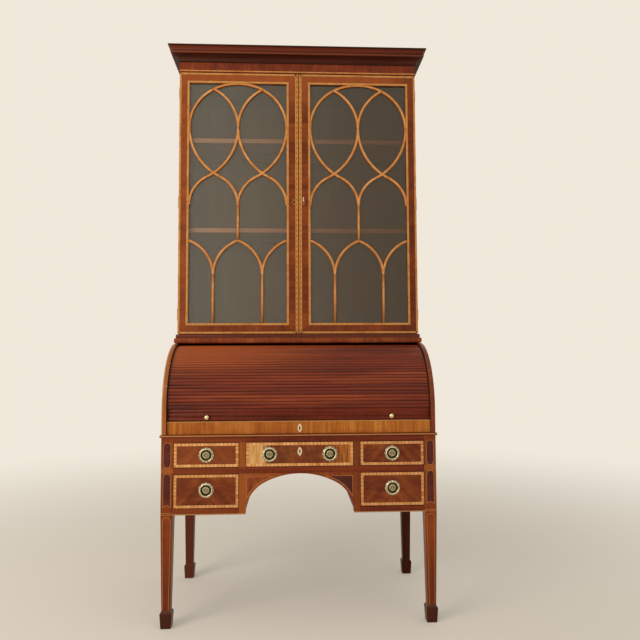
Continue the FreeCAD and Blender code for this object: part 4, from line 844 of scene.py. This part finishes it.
for side in ("left", "right"):
    x0, x1, y0, y1, z0, z1 = boxInMm(side + "_door_tracery")
    points, faces, rounded = [], [], []
    for index, path in enumerate(traceryPaths((x0 + x1) / 2, (x1 - x0) / 2, z0, z1)):
        # a hair's breadth apart in depth, so that bars which cross share no plane
        front = y0 + index * bars["stagger"]
        made = bentBar(path, front, y1 - front)
        faces += [tuple(len(points) + i for i in face) for face in made[1]]
        points += made[0]
        rounded += made[2]
    tracery = meshPiece(side + "_door_glazing_bars", side + "_door", points, faces, "barWood", None, False)
    tracery.data.polygons.foreach_set("use_smooth", rounded)
    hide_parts(side + "_door_tracery")
print("glazing bars bent")


# Straight pale lines across a front
def frontLine(name, body, material, y, width, lift, *runs):
    # a run is where the line starts and ends and how high it lies, in mm like its width and lift
    inlay = Inlay(frontPlace(y))
    for start, end, level in runs:
        inlay.strip([(start, level), (end, level)], width, False, lift)
    inlay.done(name, body, material, "satinwood")


x0, x1, y0, y1, z0, z1 = boxInMm("frieze")
frontLine("frieze_banding", "carcass", "doorBand", y0 * mm, 5.0, 0.2, (x0 + 0.5, x1 - 0.5, z0 + 6.5))
x0, x1, y0, y1, z0, z1 = boxInMm("tambour_rail")
# over the satinwood face of the lock rail
frontLine("lock_rail_top_line", "lock_rail", "boxLine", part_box("rail_escutcheon")[0].y, 3.4, 0.12,
          (x0 + 0.6, x1 - 0.6, z0 + 46.2))
print("frieze and lock rail inlaid")

# Posts and legs: dark panels ringed with boxwood, then two converging lines down each leg
postInlay = {"middle": 497.5, "half": 14.0, "line": 1.7, "upper": (589.0, 681.0), "lower": (443.0, 565.5),
             "cut": 12.0, "flat": 0.55, "hollow": 7.0, "collars": (414.6, 420.4), "collarHalf": 22.3}
legInlay = {"foot": (10.5, 70.0), "shoulder": (14.8, 394.0), "top": (8.0, 404.0), "line": 1.8}
place = frontPlace(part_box("front_legs")[0].y)
half, cut = postInlay["half"], postInlay["cut"]
flat = half * postInlay["flat"]
for sign, side in ((-1, "left"), (1, "right")):
    middle = sign * postInlay["middle"]
    low, high = postInlay["upper"]
    upper = [(middle - half, low + cut), (middle - flat, low), (middle + flat, low),
             (middle + half, low + cut), (middle + half, high - cut), (middle + flat, high),
             (middle - flat, high), (middle - half, high - cut)]
    low, high = postInlay["lower"]
    # the foot of the lower panel is hollowed
    hollow = [(middle + half * (i / 5 - 1), low + postInlay["hollow"] * math.sin(math.pi * i / 10))
              for i in range(1, 10)]
    lower = [(middle - half, low)] + hollow + [
        (middle + half, low), (middle + half, high - cut), (middle + flat, high), (middle - flat, high),
        (middle - half, high - cut)]
    panels, strings = Inlay(place), Inlay(place)
    for outline in (upper, lower):
        panels.panel(outline)
        strings.strip(outline, postInlay["line"], True, 0.14)
    panels.done(side + "_post_panels", "carcass", "panelInlay", "mahogany")
    reach = postInlay["collarHalf"]
    for level in postInlay["collars"]:
        strings.strip([(middle - reach, level), (middle + reach, level)], postInlay["line"], False, 0.14)
    halfLine = [legInlay[level] for level in ("foot", "shoulder", "top")]
    strings.strip([(middle - a, b) for a, b in halfLine] + [(middle + a, b) for a, b in halfLine[::-1]],
                  legInlay["line"], False, 0.14)
    strings.done(side + "_post_stringing", "carcass", "fineLine", "satinwood")
print("posts inlaid")

# Apron: cut again with a smooth arch, a line round each spandrel
archInlay = {"rise": 149.0, "haunch": 131.0, "line": 1.9, "margin": 9.0, "side": 5.0, "drop": 13.0}
x0, x1, y0, y1, z0, z1 = boxInMm("kneehole_apron")
haunch, haunchX = archInlay["haunch"], x1 - archInlay["haunch"]
crown, lean = archCrown(haunchX, haunch, archInlay["rise"])
quarter = arcPath(haunchX, z0, haunch, 0, lean, 28)
arch = quarter[:-1] + arcPath(0, z0 + archInlay["rise"] - crown, crown, lean, 180 - lean, 36)
arch += mirrorPath(quarter)[1:]
cuts = [[(x, y0, z), (x, y1, z), (x, y1, z1), (x, y0, z1)] for x, z in arch]
points, faces = skin([[tuple(v * mm for v in point) for point in ring] for ring in cuts])
apron = meshPiece("kneehole_apron_cut", "carcass", points, faces, "plainWood", None, False)
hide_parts("kneehole_apron")
ring = haunch + archInlay["margin"]
sideX, topLine = x1 - archInlay["side"], z1 - archInlay["drop"]
start = math.degrees(math.acos((sideX - haunchX) / ring))
finish = math.degrees(math.asin((topLine - z0) / ring))
spandrel = arcPath(haunchX, z0, ring, start, finish, 16) + [(sideX, topLine)]
place = frontPlace(y0 * mm)
spandrels = {"right": spandrel, "left": mirrorPath(spandrel)}
apronLines = Inlay(place)
for outline in spandrels.values():
    apronLines.strip(outline, archInlay["line"], True, 0.14)
apronLines.done("apron_stringing", "carcass", "fineLine", "satinwood")
# the left spandrel is filled with the paler orange wood and the right with the dark panel wood: painted light
# on the left, painted shade on the right
for side, wood in (("right", "panelInlay"), ("left", "waistWood")):
    inside = Inlay(place)
    inside.panel(spandrels[side][::-1])
    inside.done("apron_" + side + "_spandrel", "carcass", wood, "mahogany")
frontLine("case_foot_band", "carcass", "boxLine", frontY, 3.4, 0.16,
          (-475.0, -205.3, 415.2), (205.3, 475.0, 415.2))
x0, x1, y0, y1, z0, z1 = boxInMm("writing_bed")
# a pale line along the nosed edge of the bed: boxwood stringing, and also a painted highlight of the edge
frontLine("writing_bed_line", "carcass", "boxLine", y0 * mm, 3.4, 0.1,
          (x0 + 2.5, x1 - 2.5, (z0 + z1) / 2 + 0.8))
print("apron, foot and bed inlaid")


# Brass pulls
def lathe(centre, profile, sides):
    # profile: distance from the axis and height towards the viewer, in mm
    x, y, z = centre
    turned = [2 * math.pi * i / sides for i in range(sides)]
    rings = [[((x + radius * math.cos(turn)) * mm, (y - height) * mm, (z + radius * math.sin(turn)) * mm)
              for turn in turned] for radius, height in profile]
    points, faces = skin(rings, caps=False)
    total = sum(math.dist(a, b) for a, b in zip(profile, profile[1:]))
    uvs, low = [], 0.0
    for a, b in zip(profile, profile[1:]):
        high = low + math.dist(a, b) / total
        for i in range(sides):
            uvs += [(i / sides, low), (i / sides, high), ((i + 1) / sides, high), ((i + 1) / sides, low)]
        low = high
    return points, faces, uvs


def softCurve(points, each=3):
    # rounds a profile between its given points
    made = []
    for i in range(len(points) - 1):
        near = [points[max(0, i - 1)], points[i], points[i + 1], points[min(len(points) - 1, i + 2)]]
        for t in (k / each for k in range(each)):
            made.append(tuple(0.5 * (2 * b + (c - a) * t + (2 * a - 5 * b + 4 * c - d) * t * t
                                     + (3 * b - a - 3 * c + d) * t ** 3) for a, b, c, d in zip(*near)))
    made.append(points[-1])
    return [(max(0.0, a), b) for a, b in made]


def torus(centre, radius, wire, sides, around):
    points, faces, uvs = [], [], []
    x, y, z = centre
    for i in range(sides):
        turn = 2 * math.pi * i / sides
        for j in range(around):
            roll = 2 * math.pi * j / around
            reach = radius + wire * math.cos(roll)
            points.append(((x + reach * math.cos(turn)) * mm, (y + wire * math.sin(roll)) * mm,
                           (z + reach * math.sin(turn)) * mm))
            here, there = i * around, (i + 1) % sides * around
            faces.append((here + j, here + (j + 1) % around, there + (j + 1) % around, there + j))
            u0, u1, v0, v1 = i / sides, (i + 1) / sides, j / around, (j + 1) / around
            uvs += [(u0, v0), (u0, v1), (u1, v1), (u1, v0)]
    return points, faces, uvs


def gather(parts):
    points, faces, uvs = [], [], []
    for partPoints, partFaces, partUvs in parts:
        faces += [tuple(len(points) + i for i in face) for face in partFaces]
        points += partPoints
        uvs += partUvs
    return points, faces, uvs


def beadTree():
    # beads set round a circle: how many, how far out, how big
    tree = bpy.data.node_groups.new("bead_ring", "GeometryNodeTree")
    tree.interface.new_socket("Geometry", in_out="OUTPUT", socket_type="NodeSocketGeometry")
    for label, kind in (("Count", "Int"), ("Radius", "Float"), ("Bead", "Float"), ("Centre", "Vector"),
                        ("Finish", "Material")):
        tree.interface.new_socket(label, in_out="INPUT", socket_type="NodeSocket" + kind)
    given = tree.nodes.new("NodeGroupInput").outputs
    ring = addNode(tree, "GeometryNodeCurvePrimitiveCircle", Resolution=given["Count"],
                   Radius=given["Radius"])
    upright = addNode(tree, "GeometryNodeTransform", Geometry=ring, Translation=given["Centre"],
                      Rotation=(math.radians(90), 0, 0))
    spots = addNode(tree, "GeometryNodeCurveToPoints", Curve=upright, mode="EVALUATED")
    bead = addNode(tree, "GeometryNodeMeshIcoSphere", Radius=given["Bead"], Subdivisions=2)
    put = addNode(tree, "GeometryNodeInstanceOnPoints", Points=spots, Instance=bead)
    real = addNode(tree, "GeometryNodeRealizeInstances", Geometry=put)
    dressed = addNode(tree, "GeometryNodeSetMaterial", Geometry=real, Material=given["Finish"])
    addNode(tree, "NodeGroupOutput", Geometry=dressed)
    return tree


beadRing = beadTree()


def beadsMesh(name, count, radius, bead, centre):
    holder = bpy.data.objects.new(name + "_seed", bpy.data.meshes.new(name + "_seed"))
    scene.collection.objects.link(holder)
    modifier = holder.modifiers.new("beads", "NODES")
    modifier.node_group = beadRing
    identifiers = {s.name: s.identifier for s in beadRing.interface.items_tree if s.in_out == "INPUT"}
    for label, value in (("Count", count), ("Radius", radius * mm), ("Bead", bead * mm),
                         ("Centre", tuple(v * mm for v in centre)), ("Finish", materials["ringBrass"])):
        modifier[identifiers[label]] = value
    holder.update_tag()
    graph = bpy.context.evaluated_depsgraph_get()
    mesh = bpy.data.meshes.new_from_object(holder.evaluated_get(graph))
    mesh.name = name
    bpy.data.objects.remove(holder)
    if not mesh.materials:
        mesh.materials.append(materials["ringBrass"])
    mesh.polygons.foreach_set("use_smooth", [True] * len(mesh.polygons))
    return mesh


pull = {
    "profile": [(0.0, 4.7), (2.6, 4.4), (3.8, 3.6), (5.4, 3.5), (8.8, 4.4), (11.6, 3.8), (13.8, 2.4),
                (15.0, 1.0), (17.0, 0.8), (20.0, 0.8), (24.6, 0.9), (25.6, 2.0), (26.6, 2.9), (27.6, 2.2),
                (28.2, 1.1), (28.2, 0.0)],
    "edge": 28.2, "sides": 56, "beads": 40, "beadRadius": 0.55, "beadCircle": 26.9, "beadHeight": 2.6,
    "eyeRadius": 3.35, "eyeWire": 0.95, "eyeReach": 1.5,
    "ringSides": 56, "ringAround": 14, "ringRadius": 22.5,
}
pulls = [(drawer, tag) for drawer in drawers
         for tag in (("_left", "_right") if drawer == "top_centre" else ("",))]
for drawer, tag in pulls:
    body = "drawer_" + drawer
    x0, x1, y0, y1, z0, z1 = boxInMm(body + "_roses")
    rx0, rx1, ry0, ry1, rz0, rz1 = boxInMm(body + "_ring" + tag)
    cx = {"": (x0 + x1) / 2, "_left": x0 + pull["edge"], "_right": x1 - pull["edge"]}[tag]
    cz, pivotY = (z0 + z1) / 2, (ry0 + ry1) / 2
    plate = lathe((cx, y1, cz), softCurve(pull["profile"]), pull["sides"])
    # the eye that the ring hangs in, turned to point at the viewer and sunk in the boss
    eye = torus((cx, pivotY, cz + pull["ringRadius"]), pull["eyeRadius"], pull["eyeWire"], 20, 8)
    turned = [((cx + (y / mm - pivotY) * pull["eyeReach"]) * mm, min((pivotY + x / mm - cx) * mm, y1 * mm), z)
              for x, y, z in eye[0]]
    eye = (turned, [face[::-1] for face in eye[1]], [(0.5, 0.93)] * len(eye[2]))
    points, faces, uvs = gather([plate, eye])
    rose = meshPiece("pull_rose_" + drawer + tag, body, points, faces, "rose", uvs, True)
    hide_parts(body + "_roses")
    beadName = "pull_beads_" + drawer + tag
    beads = bpy.data.objects.new(beadName, beadsMesh(beadName, pull["beads"], pull["beadCircle"],
                                                     pull["beadRadius"], (cx, y1 - pull["beadHeight"], cz)))
    scene.collection.objects.link(beads)
    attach(beads, body)
    wire = (ry1 - ry0) / 2 * 0.98
    points, faces, uvs = torus((cx, pivotY, cz), pull["ringRadius"], wire, pull["ringSides"],
                               pull["ringAround"])
    ring = meshPiece("pull_ring_" + drawer + tag, "ring_" + drawer + tag, points, faces, "ringBrass", uvs,
                     True)
    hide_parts(body + "_ring" + tag)
print("pulls made:", len(pulls))

# Stop bead over the head of the bookcase, which the doors close against
stopBead = {"gap": 0.5, "depth": 11.0, "nose": 1.5, "steps": 8}
headX0, headX1, headY, *others = boxInMm("bookcase_boards")
low, high = boxInMm("left_door_frame")[5], boxInMm("frieze")[4]
profile = [(headY + stopBead["depth"], high), (headY + stopBead["depth"], low)]
for step in range(stopBead["steps"] + 1):
    angle = math.pi * (step / stopBead["steps"] - 0.5)
    profile.append((headY + stopBead["gap"] + stopBead["nose"] * (1 - math.cos(angle)),
                    (low + high) / 2 + (high - low) / 2 * math.sin(angle)))
points, faces = skin([[(x * mm, y * mm, z * mm) for y, z in profile] for x in (headX0, headX1)])
meshPiece("bookcase_stop_bead", "carcass", points, faces, "railWood", None, False)
print("stop bead made")

# Brass knobs of the lock rail
knob = {"profile": [(0.0, 16.0), (3.0, 15.8), (6.0, 14.7), (8.2, 12.6), (8.9, 10.2), (8.2, 7.9), (5.8, 6.4),
                    (3.8, 5.6), (3.5, 4.6), (4.4, 4.1), (6.1, 4.0), (6.2, 2.4), (6.0, 1.6), (3.5, 1.5),
                    (3.5, -3.0)],
        "height": 16.0, "sides": 36, "spacing": 704.0}
x0, x1, y0, y1, z0, z1 = boxInMm("tambour_knobs")
points, faces, uvs = gather([
    lathe((x, y0 + knob["height"], (z0 + z1) / 2), softCurve(knob["profile"]), knob["sides"])
    for x in (-knob["spacing"] / 2, knob["spacing"] / 2)])
knobs = meshPiece("tambour_knobs_turned", "lock_rail", points, faces, "brass", uvs, True)
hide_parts("tambour_knobs")
print("knobs turned")

# Keyholes: a black sheet on the ivory, painted shade for the hollow of each keyhole
keyhole = {"radius": 3.2, "rise": 3.1, "half": 2.1, "drop": 6.9}
for name, body in (("rail_escutcheon", "lock_rail"), ("drawer_escutcheon", "drawer_top_centre")):
    x0, x1, y0, y1, z0, z1 = boxInMm(name)
    cx, cz = (x0 + x1) / 2, (z0 + z1) / 2
    outline = arcPath(cx, cz + keyhole["rise"], keyhole["radius"], -48, 228, 18)
    outline += [(cx + way * keyhole["half"], cz - keyhole["drop"]) for way in (-1, 1)]
    hole = Inlay(frontPlace(y0 * mm))
    hole.panel(outline, 0.05)
    hole.done(name + "_keyhole", body, "ebonyAndShadeLine", "mahogany")

# Camera, from the perspective of the photograph: place in mm, angles in radians
view = {"place": (-27.1, -2299.5 + frontY / mm, 1004.7), "yaw": 0.046, "pitch": 0.0598, "roll": -0.0045,
        "lens": 33.75}
yaw, pitch, roll = view["yaw"], view["pitch"], view["roll"]
forward = Vector((math.sin(yaw) * math.cos(pitch), math.cos(yaw) * math.cos(pitch), math.sin(pitch)))
right = Vector((math.cos(yaw), -math.sin(yaw), 0.0))
up = right.cross(forward)
axes = Matrix((right * math.cos(roll) + up * math.sin(roll),
               up * math.cos(roll) - right * math.sin(roll), -forward))
cameraData = bpy.data.cameras.new("camera")
cameraData.lens = view["lens"]
cameraData.sensor_width = 36.0
cameraData.clip_start = 0.05
cameraData.clip_end = 60.0
camera = bpy.data.objects.new("camera", cameraData)
camera.matrix_world = Matrix.Translation(Vector(view["place"]) * mm) @ axes.transposed().to_4x4()
scene.collection.objects.link(camera)
scene.camera = camera

# Studio: pale floor that runs out into a pale surround, daylight from the left
studio = {"floor": "#F4ECDE", "surround": "#F0E8DA", "lift": 0.22, "fill": 0.45, "key": 92.0, "top": 21.0,
          "low": 5.0}


def seeingRays(tree):
    # the camera, polished metal and glass all see the pale surround
    camera, glossy, through = (addNode(tree, "LightPath", give="Is " + ray + " Ray")
                               for ray in ("Camera", "Glossy", "Transmission"))
    return ("MAXIMUM", ("MAXIMUM", camera, glossy), through)


floorMesh = bpy.data.meshes.new("studio_floor")
floorMesh.from_pydata([(-14, -9, 0), (14, -9, 0), (14, 12, 0), (-14, 12, 0)], [], [(0, 1, 2, 3)])
floor = bpy.data.objects.new("studio_floor", floorMesh)
scene.collection.objects.link(floor)
floorMaterial = newMaterial("studio_floor_matt",
                            lambda tree: {"Base Color": studio["floor"], "Roughness": 0.9})
tree = floorMaterial.node_tree
matt = tree.nodes["Principled BSDF"].outputs["BSDF"]
distance = ("SQRT", ("ADD", ("MULTIPLY", "X", "X"), ("MULTIPLY", "Y", "Y")))
fade = ("MULTIPLY", within(tree, (distance, 0.7, 4.6, studio["lift"], 1.0)), seeingRays(tree))
glow = addNode(tree, "Emission", studio["surround"], 1.0)
plug(tree, tree.nodes["Material Output"].inputs["Surface"], addNode(tree, "MixShader", fade, matt, glow))
floorMesh.materials.append(floorMaterial)
floor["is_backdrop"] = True

world = bpy.data.worlds.new("studio_world")
world.use_nodes = True
scene.world = world
tree = world.node_tree
tree.nodes.clear()
lit = addNode(tree, "Background", "#F2EEE8", studio["fill"])
seen = addNode(tree, "Background", studio["surround"], 1.0)
addNode(tree, "OutputWorld", Surface=addNode(tree, "MixShader", seeingRays(tree), lit, seen))


def softbox(name, place, target, size, watts, code):
    data = bpy.data.lights.new(name, "AREA")
    data.shape = "RECTANGLE"
    data.size, data.size_y = size
    data.energy = watts
    data.color = linearColour(code)[:3]
    light = bpy.data.objects.new(name, data)
    light.location = place
    light.rotation_mode = "QUATERNION"
    light.rotation_quaternion = (Vector(target) - Vector(place)).to_track_quat("-Z", "Y")
    scene.collection.objects.link(light)


softbox("window", (-3.2, -3.0, 2.3), (0.0, 0.0, 1.2), (2.4, 2.0), studio["key"], "#FFF4E4")
softbox("ceiling", (0.3, -0.9, 4.6), (0.0, 0.0, 1.0), (3.2, 3.2), studio["top"], "#FFF6EA")
softbox("low_fill", (2.6, -3.2, 1.0), (0.0, 0.0, 0.9), (1.8, 1.8), studio["low"], "#FFEFD8")
scene.view_settings.view_transform = "Standard"
print("camera and studio set")

low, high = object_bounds()
